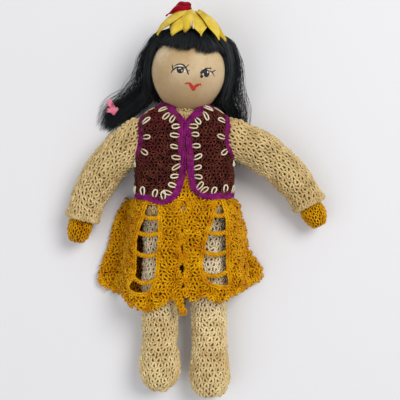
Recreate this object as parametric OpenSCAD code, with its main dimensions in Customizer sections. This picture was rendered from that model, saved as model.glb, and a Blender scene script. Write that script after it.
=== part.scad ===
// A crocheted cloth doll lying on its back, in millimetres.
// +Y runs up the body to the crown, +Z out of the chest, and +X to the right of someone who looks
// down on the face. The origin is on the resting surface, under the middle of the hips.
// Limbs, fronts and locks are named left (-X) and right (+X) as that person sees them.

/* [Head] */
// Diameter of the head ball
head_d = 29.6; // [28:0.2:36]
// Thickness of the hair on the head ball
hair_t = 3; // [2:0.25:4]
// Length of the neck, from its root in the torso to the middle of the head ball
neck_len = 22.3; // [21:0.1:28]
// Sideways tilt of the neck
neck_tilt = 4.5; // [0:0.5:6]
// Diameter of the wooden neck peg
peg_d = 5; // [4:0.25:6]
// Length of the neck peg inside the head ball
peg_grip = 9; // [6:0.5:11]

/* [Torso] */
// Width of the stuffed torso
torso_w = 34; // [32:0.5:41]
// Thickness of the stuffed torso, front to back
torso_t = 18.2; // [17:0.2:22]
// Length of the torso from the origin's line to the neck root
torso_len = 40; // [38:0.5:44]
// Wall of the crocheted skins
skin_t = 1.1; // [0.8:0.1:1.5]

/* [Arms] */
// Length of an arm from shoulder to cuff, along its curve
arm_len = 40; // [34:0.5:50]
// Diameter of an arm at the shoulder
arm_root_d = 16; // [14:0.25:16.5]
// Diameter of an arm at the elbow
elbow_d = 15; // [13:0.25:15.5]
// Diameter of an arm at the cuff
cuff_d = 13.4; // [12:0.25:14]
// Slope of the left arm where it leaves the shoulder, in degrees below level
left_arm_slope = 33; // [25:1:40]
// How far the left arm curves between shoulder and cuff, in degrees
left_arm_curve = 42; // [20:1:55]
// Slope of the right arm where it leaves the shoulder, in degrees below level
right_arm_slope = 16; // [12:1:40]
// How far the right arm curves between shoulder and cuff, in degrees
right_arm_curve = 52; // [20:1:60]
// Diameter of a hand
hand_d = 10.6; // [9:0.2:11.5]
// Length of a hand beyond the cuff
hand_len = 10.5; // [8:0.5:13]
// Diameter of the armature wire
wire_d = 1.2; // [0.8:0.1:1.6]

/* [Legs] */
// Length of the left leg from the hip to the sole
leg_len = 68; // [56:1:82]
// How much longer the right leg is than the left one
right_leg_more = 3; // [0:0.5:5]
// Diameter of a thigh
thigh_d = 14.4; // [12:0.2:14.8]
// Diameter of an ankle
ankle_d = 13.8; // [12:0.2:15]
// Width of a foot
foot_d = 16; // [14:0.2:18]
// Distance between the two hips
hip_gap = 19.2; // [18.5:0.2:20.5]

/* [Vest] */
// Thickness of the crocheted vest
vest_t = 1.4; // [1:0.1:1.8]
// Width of the coloured edging along the vest's edges
edging_w = 1.8; // [1.2:0.1:2.4]
// Lowest point of the vest's rounded fronts, above the origin's line
vest_hem_y = 2.8; // [2:0.2:6]
// Spacing of the light stitches along the edging
stitch_pitch = 4.2; // [3.5:0.1:6]

/* [Skirt] */
// Thickness of the lace skirt
skirt_t = 1.4; // [1:0.1:1.8]
// Length of the skirt below the origin's line
skirt_len = 38; // [32:0.5:48]
// Width of the skirt at its hem
hem_w = 66; // [58:1:80]
// Width of the slit down the middle of the skirt's front
slit_w = 0.4; // [0.2:0.1:1]

/* [Hair] */
// Length of the hair that lies behind the shoulders
back_hair_len = 20; // [14:1:26]
// Width of a lock beside the shoulder
lock_w = 6.8; // [5:0.2:7.4]
// Half thickness of a lock
lock_h = 1.7; // [1.2:0.1:2.1]
// Width of the ribbon on the left lock
ribbon_w = 2.6; // [2:0.2:4]
// Length of the ribbon's end
ribbon_len = 9; // [7:0.5:12]
// Thickness of the ribbon
ribbon_t = 0.4; // [0.2:0.1:0.6]

/* [Headdress] */
// Number of petals in each ring of the headdress
petal_count = 6; // [5:1:7]
// Length of an outer petal
petal_len = 13; // [11:0.5:16]
// Length of an inner petal
inner_petal_len = 11; // [9:0.5:13]
// Width of a petal
petal_w = 8; // [6:0.5:9]
// How far an inner petal's tip stands off the outer ones
petal_lift = 4.5; // [2:0.5:6]

/* [Hidden] */
$fn = 48;

// Clearances: between pieces that touch, and between pieces that move past each other.
touch_gap = 0.1;
swing_gap = 0.35;
peg_gap = 0.05;

// How far the joints go, in degrees: the cut-outs that make room for them follow these.
arm_raise = 38;
arm_lower = 8;
hip_lift = 62;
sweep_step = 10;

// Sides of the rings that soft shapes are lofted from.
ring_sides = 20;

// Layers under the torso, from the resting surface up.
back_hair_t = 1;
torso_z = back_hair_t + touch_gap + vest_t + 2*touch_gap + skirt_t + torso_t/2 + touch_gap;
vest_in = skirt_t + 2*touch_gap;
vest_out = vest_in + vest_t;

// The head sits at the end of the neck, which leans back and sideways from its root.
neck_sink = 7.6;
neck_rise = 1.6;
neck_root = [0, torso_len - neck_sink, torso_z + neck_rise];
head_r = head_d/2;
cap_r = head_r + hair_t;
head_z = cap_r + touch_gap;
neck_lean = asin((head_z - neck_root[2])/neck_len);
head_c = neck_root + neck_len*[sin(neck_tilt)*cos(neck_lean), cos(neck_tilt)*cos(neck_lean), sin(neck_lean)];
neck_wall = 2.2;
neck_r = peg_d/2 + neck_wall;
neck_depth = 2;
peg_depth = 6;
hair_part_z = 3;
fringe_y = 8;
nape_y = -9;

// Arms and legs.
shoulder = [torso_w/2 + 1.6, torso_len - 12, torso_z];
arm_r = arm_root_d/2;
elbow_r = elbow_d/2;
cuff_r = cuff_d/2;
elbow_at = arm_len/2;
cuff_z = cuff_r + 0.4;
arm_drop = shoulder[2] - cuff_z;
thigh_r = thigh_d/2;
hip = [hip_gap/2, -5, skirt_t + swing_gap + thigh_r + 0.9];
foot_r = foot_d/2;
foot_z = foot_r + 0.2;
leg_splay = 0.6;

// The waistband shows between the rounded fronts of the vest.
waist_y = vest_hem_y + 10;
gather_y = 2;
gather_low_y = -1;
torso_end_y = -4;
skirt_top_y = torso_end_y - touch_gap;
hem_y = -skirt_len;

// ---------- lofts ----------

function spow(v, n) = sign(v)*pow(abs(v), 2/n);

// One closed ring of points: a superellipse about c, on the axes u and v, with half sizes a and b.
function ring(c, u, v, a, b, n = 2, sides = ring_sides) =
    [for (i = [0:sides - 1]) let (t = 360*i/sides) c + u*a*spow(cos(t), n) + v*b*spow(sin(t), n)];

// A closed solid through a list of rings with the same number of points. A thin ring, whose second
// half runs back beside its first half, gets ends made of strips from one half to the other.
module loft(rings, thin = false) {
    k = len(rings[0]);
    m = len(rings);
    last = (m - 1)*k;
    polyhedron(
        [for (r = rings, p = r) p],
        concat(
            thin ? [for (i = [0:k/2 - 2]) [i, i + 1, k - 2 - i, k - 1 - i]] : [[for (i = [0:k - 1]) i]],
            thin ? [for (i = [0:k/2 - 2]) [for (j = [k - 1 - i, k - 2 - i, i + 1, i]) last + j]]
                : [[for (i = [k - 1:-1:0]) last + i]],
            [for (j = [0:m - 2], i = [0:k - 1]) [j*k + i, (j + 1)*k + i, j*k + (i + 1)%k]],
            [for (j = [0:m - 2], i = [0:k - 1])
                [j*k + (i + 1)%k, (j + 1)*k + i, (j + 1)*k + (i + 1)%k]]));
}

// ---------- torso ----------

// Stations of the torso: height, share of the half width, share of the half thickness.
torso_stations = [
    [torso_end_y, 0.72, 0.8], [0, 0.95, 0.98], [6, 0.99, 1], [14, 1, 1], [22, 1, 1],
    [torso_len - 8, 0.98, 0.97], [torso_len - 3.5, 0.8, 0.85], [torso_len, 0.45, 0.6]];

module torso_form(off, from = -10, to = 60) {
    stations = [for (s = torso_stations) if (s[0] >= from && s[0] <= to) s];
    loft([for (s = stations) ring([0, s[0], torso_z], [0, 0, 1], [1, 0, 0],
        s[2]*torso_t/2 + off, s[1]*torso_w/2 + off, 3.2, 32)]);
}

// The space that an arm's root and the arm itself take in the shoulder over the whole travel.
module arm_room(side) {
    translate([side*shoulder[0], shoulder[1], shoulder[2]]) {
        sphere(r = arm_r + swing_gap);
        translate([0, 0, -arm_r - swing_gap])
            linear_extrude(2*(arm_r + swing_gap))
                arm_fan(side);
    }
}

module arm_fan(side) {
    slope = side < 0 ? left_arm_slope : right_arm_slope;
    for (a = [-arm_raise:sweep_step:arm_lower + sweep_step/2])
        rotate(side < 0 ? 180 + slope + a : -slope - a)
            translate([0, -arm_r - swing_gap])
                square([20, 2*(arm_r + swing_gap)]);
}

// The space that a leg's root and its thigh take over the whole travel.
module leg_room(side) {
    translate([side*hip[0], hip[1], hip[2]]) {
        sphere(r = thigh_r + swing_gap);
        translate([-thigh_r - swing_gap, 0, 0])
            rotate([90, 0, 90])
                linear_extrude(2*(thigh_r + swing_gap))
                    for (a = [0:sweep_step:hip_lift])
                        rotate(180 - a)
                            translate([0, -thigh_r - swing_gap])
                                square([20, 2*(thigh_r + swing_gap)]);
    }
}

module neck_frame() {
    translate(neck_root) rotate([0, 0, -neck_tilt]) rotate([neck_lean, 0, 0]) children();
}

module head_frame() {
    neck_frame() translate([0, neck_len, 0]) children();
}

// A cylinder along the neck.
module along_neck(r, from, to) {
    neck_frame() translate([0, from, 0]) rotate([-90, 0, 0]) cylinder(r = r, h = to - from);
}

module torso_limits() {
    for (side = [-1, 1]) {
        arm_room(side);
        leg_room(side);
    }
}

module torso_skin() {
    color("wheat")
    difference() {
        torso_form(0);
        torso_form(-skin_t, 0, torso_len - 3);
        torso_limits();
        along_neck(neck_r, -neck_depth, neck_len);
    }
}

module torso_stuffing() {
    color("white")
    difference() {
        torso_form(-skin_t, 0, torso_len - 3);
        torso_limits();
        along_neck(neck_r, -neck_depth, neck_len);
        along_neck(peg_d/2, -peg_depth, neck_len);
        shoulder_wire_run(torso_w);
    }
}

// The armature wire runs through the torso from one shoulder to the other.
module shoulder_wire_run(half) {
    translate([-half, shoulder[1], torso_z - peg_d/2 - wire_d]) rotate([0, 90, 0])
        cylinder(d = wire_d, h = 2*half, $fn = 24);
}

module shoulder_wire() {
    color("silver") shoulder_wire_run(shoulder[0] - arm_r - swing_gap);
}

module neck_peg() {
    color("burlywood")
    along_neck(peg_d/2, -peg_depth, neck_len - head_r + peg_grip);
}

module neck_skin() {
    color("wheat")
    difference() {
        along_neck(neck_r, -neck_depth, neck_len - head_r + 1);
        along_neck(peg_d/2 + touch_gap, -neck_depth - 1, neck_len);
        head_frame() sphere(r = head_r + touch_gap);
    }
}

// ---------- head ----------

module head_ball() {
    color("navajowhite")
    head_frame() difference() {
        sphere(r = head_r, $fn = 96);
        translate([0, -head_r - 1, 0]) rotate([-90, 0, 0])
            cylinder(r = peg_d/2 + peg_gap, h = peg_grip + 1 + touch_gap);
    }
}

module hair_shell() {
    difference() {
        sphere(r = cap_r, $fn = 96);
        sphere(r = head_r + touch_gap, $fn = 96);
    }
}

// The wig behind the face, from the crown to the nape.
module hair_cap() {
    color([0.05, 0.05, 0.06])
    head_frame() difference() {
        hair_shell();
        translate([-30, -60, hair_part_z]) cube([60, 90, 30]);
        translate([-30, -60, -30]) cube([60, 60 + nape_y, 60]);
    }
}

// The cut fringe over the forehead.
module hair_fringe() {
    color([0.05, 0.05, 0.06])
    head_frame() intersection() {
        hair_shell();
        translate([-30, fringe_y, hair_part_z]) cube([60, 30, 30]);
    }
}

// A flat run of hair: rounded sections with half width a and half height b about each point.
module hair_run(stations) {
    color([0.05, 0.05, 0.06])
    loft([for (s = stations) ring(s[0], [1, 0, 0], [0, 0, 1], s[1], s[2], 2.4, 16)]);
}

module hair_back() {
    top = head_c[1] - 7.5;
    hair_run([for (k = [[0, 0.6], [0.25, 0.92], [0.7, 1], [1, 0.7]])
        [[head_c[0]*(1 - k[0]), top - back_hair_len*k[0], back_hair_t/2], k[1]*torso_w/2, back_hair_t/2]]);
}

// The locks lie on the surface beside the shoulders, below the arms. Each station is a step from the
// middle of the head or from the side of the vest, and a half width.
lock_z = lock_h + touch_gap;
left_lock = [[-19.3, -5], [-22.3, -11], [-26.8, -15], [-30.8, -19], [-34.3, -24]];
right_lock = [[17.7, -3], [20, -11], [torso_w/2 + vest_out + 2.4 - head_c[0], -18],
    [torso_w/2 + vest_out + 2.2 - head_c[0], -27], [torso_w/2 + vest_out + 2.6 - head_c[0], -37]];
lock_share = [1, 1, 0.94, 0.88, 0.6];

module hair_lock(steps) {
    hair_run([for (i = [0:4])
        [[head_c[0] + steps[i][0], head_c[1] + steps[i][1], lock_z], lock_w/2*lock_share[i], lock_h]]);
}

module hair_lock_left() {
    hair_lock(left_lock);
}

module hair_lock_right() {
    hair_lock(right_lock);
}

// The ribbon tied on the left lock: it lies over the lock, and its forked end stands out beside it.
module ribbon() {
    color("hotpink")
    translate([head_c[0] + left_lock[2][0], head_c[1] + left_lock[2][1], lock_z + lock_h + touch_gap])
        rotate([0, 0, 52])
            linear_extrude(ribbon_t)
                polygon([[-ribbon_w/2, -2], [ribbon_w/2, -2], [ribbon_w/2 + 0.2, ribbon_len - 2],
                    [0, ribbon_len - 3], [-ribbon_w/2 - 0.2, ribbon_len - 2]]);
}

// ---------- headdress ----------

flower_r = cap_r + touch_gap;
petal_t = 0.5;
petal_start = 10;
inner_petal_start = 14;
centre_r = 2.3;
centre_h = 2.4;

// A petal that starts beside the crown and runs down over the hair: it follows a ball of radius r
// about the head from the polar angle start, and its tip stands off that ball by lift. turn is its
// direction about the crown.
module petal(r, start, long, lift, turn) {
    steps = 7;
    sweep = long/r*180/PI;
    spread = petal_w/r*180/PI/2;
    function share(t) = 0.18 + 0.82*sin(180*pow(t, 0.8)*0.86);
    function spot(rr, polar, az) =
        [rr*sin(polar)*sin(az), rr*cos(polar), rr*sin(polar)*cos(az)];
    function section(t) = let (p = start + sweep*t, w = spread*share(t), q = r + lift*t*t) concat(
        [for (k = [-2:2]) spot(q + petal_t, p, turn + k/2*w/sin(p))],
        [for (k = [2:-1:-2]) spot(q, p, turn + k/2*w/sin(p))]);
    head_frame() loft([for (i = [0:steps]) section(i/steps)]);
}

petal_turn = 360/petal_count;
flower_turn = 12;

module petal_outer(i) {
    color("gold") petal(flower_r, petal_start, petal_len, 0, (i - 1)*petal_turn + flower_turn);
}

module petal_inner(i) {
    color("gold")
        petal(flower_r + petal_t + touch_gap, inner_petal_start, inner_petal_len, petal_lift,
            (i - 0.5)*petal_turn + flower_turn);
}

module flower_centre() {
    color("goldenrod")
    head_frame() translate([0, flower_r, 0]) rotate([-90, 0, 0])
        cylinder(r = centre_r, h = centre_h);
}

module red_bud() {
    base = flower_r + centre_h + touch_gap;
    color("crimson")
    head_frame() hull() {
        translate([-1.8, base + 0.8, 0]) sphere(r = 0.8, $fn = 24);
        translate([-4.8, base + 3, 0]) sphere(r = 1.9, $fn = 24);
        translate([-8, base + 4, 0]) sphere(r = 0.9, $fn = 24);
    }
}

// ---------- vest ----------

vest_top_y = torso_len - 1.5;
vest_low_y = vest_hem_y + 3.4;
armhole_x = torso_w/2 + 1.9;
armhole_low = shoulder[1] - arm_r + 1.6;
seam_z = torso_z;
front_gap = 1;
neck_low = torso_len - 6.4;

module vest_shell() {
    difference() {
        torso_form(vest_out, 0, torso_len);
        torso_form(vest_in, torso_end_y, torso_len);
    }
}

// Outline of one front panel as seen from above, for the side at +X.
module front_outline() {
    difference() {
        polygon([
            [front_gap/2, neck_low], [front_gap/2, 12], [front_gap/2 + 1.4, vest_hem_y + 4],
            [front_gap/2 + 4.5, vest_hem_y], [9, vest_hem_y + 0.5], [30, vest_low_y + 0.8],
            [30, vest_top_y], [9.4, vest_top_y]]);
        armhole_outline();
    }
}

module armhole_outline() {
    translate([armhole_x, armhole_low]) square([20, 2*arm_r - 0.6]);
}

module back_outline() {
    difference() {
        polygon([[-30, vest_low_y], [30, vest_low_y], [30, vest_top_y], [9.4, vest_top_y],
            [0, vest_top_y - 3], [-9.4, vest_top_y], [-30, vest_top_y]]);
        for (side = [0, 1]) mirror([side, 0]) armhole_outline();
    }
}

module vest_cut() {
    torso_limits();
    along_neck(neck_r + touch_gap, -neck_depth - 1, neck_len);
    head_frame() sphere(r = head_r + swing_gap);
}

// One panel of the vest: the shell inside an outline, in front of or behind the side seam.
module vest_panel(front) {
    difference() {
        intersection() {
            vest_shell();
            translate([0, 0, front ? seam_z : -1])
                linear_extrude(front ? 30 : seam_z + 1)
                    children();
        }
        vest_cut();
    }
}

module inner_part() {
    offset(delta = -edging_w) children();
}

module border_part() {
    difference() {
        children();
        offset(delta = -edging_w) children();
    }
}

module vest_front(side) {
    color("saddlebrown")
    vest_panel(true) mirror([side < 0 ? 1 : 0, 0]) inner_part() front_outline();
}

module vest_edging(side) {
    color("mediumvioletred")
    vest_panel(true) mirror([side < 0 ? 1 : 0, 0]) border_part() front_outline();
}

module vest_back() {
    color("saddlebrown") vest_panel(false) inner_part() back_outline();
}

module vest_edging_back() {
    color("mediumvioletred") vest_panel(false) border_part() back_outline();
}

// Light stitches over the join of edging and panel, as flat bars on the vest's outer face.
module vest_stitches() {
    long = 2.6;
    color("ivory")
    difference() {
        intersection() {
            difference() {
                torso_form(vest_out + 0.4, 0, torso_len);
                torso_form(vest_out, torso_end_y, torso_len);
            }
            translate([0, 0, seam_z + 1]) linear_extrude(30)
                for (side = [0, 1]) mirror([side, 0]) {
                    for (y = [vest_hem_y + 7:stitch_pitch:neck_low - 1])
                        translate([front_gap/2 + edging_w - 0.4, y]) square([long, 0.9]);
                    for (x = [6:stitch_pitch:14])
                        translate([x, vest_hem_y + edging_w + (x - 6)*0.15]) square([0.9, long]);
                }
        }
        vest_cut();
    }
}

// ---------- skirt ----------

// Half width and top of the skirt's arch over the legs, at share t of the way from waist to hem.
skirt_waist = max(torso_w/2, hip[0] + thigh_r + swing_gap) + skirt_t + 2*touch_gap;
function skirt_half(t) = skirt_waist + (hem_w/2 - skirt_waist)*pow(t, 0.85);
function skirt_top(t) = max(hip[2] + thigh_r + swing_gap + skirt_t,
    torso_z + torso_t/2 + skirt_t + touch_gap - 9*t);

// Section of a half skirt front: out along the arch from the middle to the side, and back inside.
function arch(y, t, side) = let (w = skirt_half(t), top = skirt_top(t), low = skirt_t + touch_gap, n = 3)
    concat(
        [for (a = [90:-9:0])
            [side*(w*spow(cos(a), n) + slit_w/2), y, low + (top - low)*spow(sin(a), n)]],
        [for (a = [0:9:90]) [side*((w - skirt_t)*spow(cos(a), n) + slit_w/2), y,
            low + (top - low - skirt_t)*spow(sin(a), n)]]);

module skirt_front(side) {
    steps = 8;
    color("goldenrod")
    loft([for (i = [0:steps]) let (r = arch(skirt_top_y + (hem_y - skirt_top_y)*i/steps, i/steps, side))
        side > 0 ? r : [for (k = [len(r) - 1:-1:0]) r[k]]], thin = true);
}

// The back lies flat, and is gathered in a thicker strip below the waistband.
module skirt_back() {
    gather_top = torso_z - torso_t/2 - skirt_t - 2*touch_gap;
    mid_y = skirt_top_y + 0.3*(hem_y - skirt_top_y);
    color("goldenrod") {
        linear_extrude(skirt_t)
            polygon([[-skirt_half(0), gather_y], [skirt_half(0), gather_y], [skirt_half(0.3), mid_y],
                [hem_w/2, hem_y], [hem_w/4, hem_y - 2], [0, hem_y + 1], [-hem_w/4, hem_y - 2],
                [-hem_w/2, hem_y], [-skirt_half(0.3), mid_y]]);
        translate([-torso_w*0.4, gather_low_y, 0])
            cube([torso_w*0.8, gather_y - gather_low_y, gather_top]);
    }
}

module skirt_waistband() {
    color("goldenrod")
    difference() {
        intersection() {
            torso_form(skirt_t + touch_gap, torso_end_y, 14);
            translate([-torso_w, torso_end_y, 0]) cube([2*torso_w, waist_y - torso_end_y, 2*torso_z]);
        }
        torso_form(touch_gap, -10, 20);
        torso_limits();
    }
}

// ---------- arms ----------

function arm_slope(side) = side < 0 ? left_arm_slope : right_arm_slope;
function arm_curve(side) = side < 0 ? left_arm_curve : right_arm_curve;
function arm_angle(side, s) = arm_slope(side) + arm_curve(side)*max(0, s)/arm_len;
function arm_dir(side, s) = let (a = arm_angle(side, s)) [side*cos(a), -sin(a), 0];
function arm_out(side, s) = let (a = arm_angle(side, s)) [side*sin(a), cos(a), 0];

// Middle of the arm at the distance s from the shoulder, along an arc that sinks to the cuff.
function arm_point(side, s) =
    let (a = arm_angle(side, s), a0 = arm_slope(side), r = arm_len/(arm_curve(side)*PI/180))
    [side*(shoulder[0] + r*(sin(a) - sin(a0)) + min(0, s)*cos(a0)),
     shoulder[1] + r*(cos(a) - cos(a0)) - min(0, s)*sin(a0),
     shoulder[2] - arm_drop*max(0, s)/arm_len];

function arm_radius(s) = s < elbow_at
    ? arm_r + (elbow_r - arm_r)*s/elbow_at
    : elbow_r + (cuff_r - elbow_r)*(s - elbow_at)/(arm_len - elbow_at);

function arm_ring(side, s, r) = ring(arm_point(side, s), arm_out(side, s), [0, 0, side], r, r);

// A ring on the ball end at the elbow or beyond the cuff, straight on from s.
function end_ring(side, s, on, r) =
    ring(arm_point(side, s) + on*arm_dir(side, s), arm_out(side, s), [0, 0, side], r, r);

ball_angles = [18:18:72];

// The upper arm between its two ball ends, smaller all round by off.
module upper_form(side, off) {
    loft(concat(
        [for (a = ball_angles) arm_ring(side, -(arm_r - off)*cos(a), (arm_r - off)*sin(a))],
        [for (s = [0:elbow_at/4:elbow_at]) arm_ring(side, s, arm_radius(s) - off)],
        [for (a = ball_angles)
            end_ring(side, elbow_at, (elbow_r - off)*sin(a), (elbow_r - off)*cos(a))]));
}

// The forearm from just beyond the elbow to the cuff, smaller all round by off. A cut with this form
// goes on beyond the cuff.
module fore_form(side, off, beyond = 0) {
    from = elbow_at + 2;
    stations = concat([for (k = [0:5]) from + (arm_len - from)*k/5], beyond > 0 ? [arm_len + beyond] : []);
    loft([for (s = stations) arm_ring(side, s, arm_radius(s) - off)]);
}

// Room for the upper arm's ball end, which the forearm turns about.
module elbow_room(side) {
    p = arm_point(side, elbow_at);
    translate([p[0], p[1], p[2] - 2*arm_r])
        cylinder(r = elbow_r + swing_gap, h = 4*arm_r, $fn = 64);
}

// A straight run of wire between two points of the arm.
module wire_run(p, q) {
    v = q - p;
    translate(p)
        rotate([0, acos(v[2]/norm(v)), atan2(v[1], v[0])])
            cylinder(d = wire_d, h = norm(v), $fn = 24);
}

module upper_wire_path(side, more = 0) {
    wire_run(arm_point(side, -arm_r + 2.4 - more), arm_point(side, elbow_at - 1));
}

module fore_wire_path(side, more = 0) {
    wire_run(arm_point(side, elbow_at + elbow_r + 1 - more),
        arm_point(side, arm_len) + (hand_len/2 + more)*arm_dir(side, arm_len));
}

module arm_upper_skin(side) {
    color("wheat") difference() {
        upper_form(side, 0);
        upper_form(side, skin_t);
    }
}

module arm_upper_stuffing(side) {
    color("white") difference() {
        upper_form(side, skin_t);
        upper_wire_path(side);
    }
}

module arm_upper_wire(side) {
    color("silver") upper_wire_path(side);
}

module arm_fore_skin(side) {
    color("wheat") difference() {
        fore_form(side, 0);
        fore_form(side, skin_t, 1);
        elbow_room(side);
    }
}

module arm_fore_stuffing(side) {
    color("white") difference() {
        fore_form(side, skin_t);
        hand_form(side);
        elbow_room(side);
        fore_wire_path(side);
    }
}

module arm_fore_wire(side) {
    color("silver") difference() {
        fore_wire_path(side);
        elbow_room(side);
    }
}

// The hand's stem goes into the cuff and its end is rounded.
module hand_form(side) {
    r = hand_d/2;
    loft(concat(
        [end_ring(side, arm_len, -3, r*0.8), end_ring(side, arm_len, 0, r)],
        [for (k = [1, 2]) end_ring(side, arm_len, (hand_len - r*0.8)*k/2, r)],
        [for (a = [30, 60, 80])
            end_ring(side, arm_len, hand_len - r*0.8 + r*0.8*sin(a), r*cos(a))]));
}

module arm_hand(side) {
    color("goldenrod") difference() {
        hand_form(side);
        fore_wire_path(side);
    }
}

// ---------- legs ----------

// Middle of the leg and its radius at the distance s below the hip.
function foot_at(side) = leg_len + (side > 0 ? right_leg_more : 0) - foot_r;
function leg_point(side, s) =
    [side*(hip[0] + leg_splay*s/leg_len), hip[1] - s,
     hip[2] + (foot_z - hip[2])*min(1, max(0, s)/foot_at(side))];
function leg_radius(side, s) = let (narrow = 0.8*foot_at(side)) s < narrow
    ? thigh_r + (ankle_d/2 - thigh_r)*max(0, s)/narrow
    : ankle_d/2 + (foot_r - ankle_d/2)*(1 - cos(180*(s - narrow)/(foot_at(side) - narrow)))/2;
function leg_ring(side, s, r) = ring(leg_point(side, s), [1, 0, 0], [0, 0, 1], r, r);

module leg_form(side, off) {
    end = foot_at(side);
    loft(concat(
        [for (a = ball_angles) leg_ring(side, -(thigh_r - off)*cos(a), (thigh_r - off)*sin(a))],
        [for (k = [0:8]) let (s = end*k/8) leg_ring(side, s, leg_radius(side, s) - off)],
        [for (a = ball_angles) leg_ring(side, end + (foot_r - off)*sin(a), (foot_r - off)*cos(a))]));
}

module leg_skin(side) {
    color("wheat") difference() {
        leg_form(side, 0);
        leg_form(side, skin_t);
    }
}

module leg_stuffing(side) {
    color("white") leg_form(side, skin_t);
}

// ---------- what is drawn ----------

head_ball();
hair_cap();
hair_fringe();
flower_centre();
red_bud();
for (i = [1:petal_count]) {
    petal_outer(i);
    petal_inner(i);
}
hair_back();
hair_lock_left();
hair_lock_right();
ribbon();
neck_peg();
neck_skin();
torso_skin();
torso_stuffing();
shoulder_wire();
vest_back();
vest_front(-1);  // vest_front_left
vest_front(1);  // vest_front_right
vest_edging_back();
vest_edging(-1);  // vest_edging_left
vest_edging(1);  // vest_edging_right
vest_stitches();
skirt_waistband();
skirt_front(-1);  // skirt_front_left
skirt_front(1);  // skirt_front_right
skirt_back();
for (s = [["left", -1], ["right", 1]]) {
    arm_upper_skin(s[1]);
    arm_upper_stuffing(s[1]);
    arm_upper_wire(s[1]);
    arm_fore_skin(s[1]);
    arm_fore_stuffing(s[1]);
    arm_fore_wire(s[1]);
    arm_hand(s[1]);
    leg_skin(s[1]);
    leg_stuffing(s[1]);
}
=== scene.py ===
import bpy
import numpy as np
from mathutils import Matrix, Vector


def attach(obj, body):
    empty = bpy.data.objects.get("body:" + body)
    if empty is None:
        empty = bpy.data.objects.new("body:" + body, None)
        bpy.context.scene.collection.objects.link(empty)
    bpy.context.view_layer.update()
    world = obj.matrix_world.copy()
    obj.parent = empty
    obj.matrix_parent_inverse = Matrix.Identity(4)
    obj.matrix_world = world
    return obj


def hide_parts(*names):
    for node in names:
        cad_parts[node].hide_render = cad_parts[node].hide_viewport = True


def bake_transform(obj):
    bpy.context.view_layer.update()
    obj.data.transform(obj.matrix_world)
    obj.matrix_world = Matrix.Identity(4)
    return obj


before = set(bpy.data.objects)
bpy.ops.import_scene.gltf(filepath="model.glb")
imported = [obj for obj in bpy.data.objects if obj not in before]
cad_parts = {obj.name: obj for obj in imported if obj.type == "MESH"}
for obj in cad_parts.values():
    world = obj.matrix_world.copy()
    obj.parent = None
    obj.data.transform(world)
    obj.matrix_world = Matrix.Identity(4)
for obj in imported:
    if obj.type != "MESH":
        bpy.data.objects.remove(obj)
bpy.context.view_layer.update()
MM = 0.001


# Legs: tubes of single crochet in ecru cotton, worked in rounds and closed at the toe, stuffed firm
# and sewn to the hips under the skirt. The yarn is painted paler up under the skirt, as painted light
# that lifts the skirt's shade.

def make_mesh(name, points, quads, caps=None, uv=None, tone=None):
    """A mesh from arrays in millimetres: points (n, 3), quads (m, 4), caps (c, sides) for end discs,
    uv (m, 4, 2) for the quads' corners, and one tone number for each point."""
    caps = np.zeros((0, 3), int) if caps is None else np.asarray(caps)
    mesh = bpy.data.meshes.new(name)
    mesh.vertices.add(len(points))
    mesh.vertices.foreach_set("co", (np.asarray(points) * MM).astype(np.float32).ravel())
    corners = np.concatenate([np.asarray(quads).ravel(), caps.ravel()]).astype(np.int32)
    sizes = np.concatenate([np.full(len(quads), 4), np.full(len(caps), caps.shape[1])])
    mesh.loops.add(len(corners))
    mesh.loops.foreach_set("vertex_index", corners)
    mesh.polygons.add(len(sizes))
    starts = np.concatenate([[0], np.cumsum(sizes)[:-1]]).astype(np.int32)
    mesh.polygons.foreach_set("loop_start", starts)
    mesh.polygons.foreach_set("use_smooth", np.ones(len(sizes), bool))
    mesh.update(calc_edges=True)
    if uv is not None:
        layer = mesh.uv_layers.new(name="Yarn")
        flat = np.zeros((len(corners), 2), np.float32)
        flat[:len(quads) * 4] = np.asarray(uv).reshape(-1, 2)
        layer.data.foreach_set("uv", flat.ravel())
    if tone is not None:
        data = mesh.attributes.new("tone", "FLOAT", "POINT").data
        data.foreach_set("value", np.asarray(tone, np.float32).ravel())
    mesh.validate()
    thing = bpy.data.objects.new(name, mesh)
    bpy.context.scene.collection.objects.link(thing)
    return thing


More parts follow.
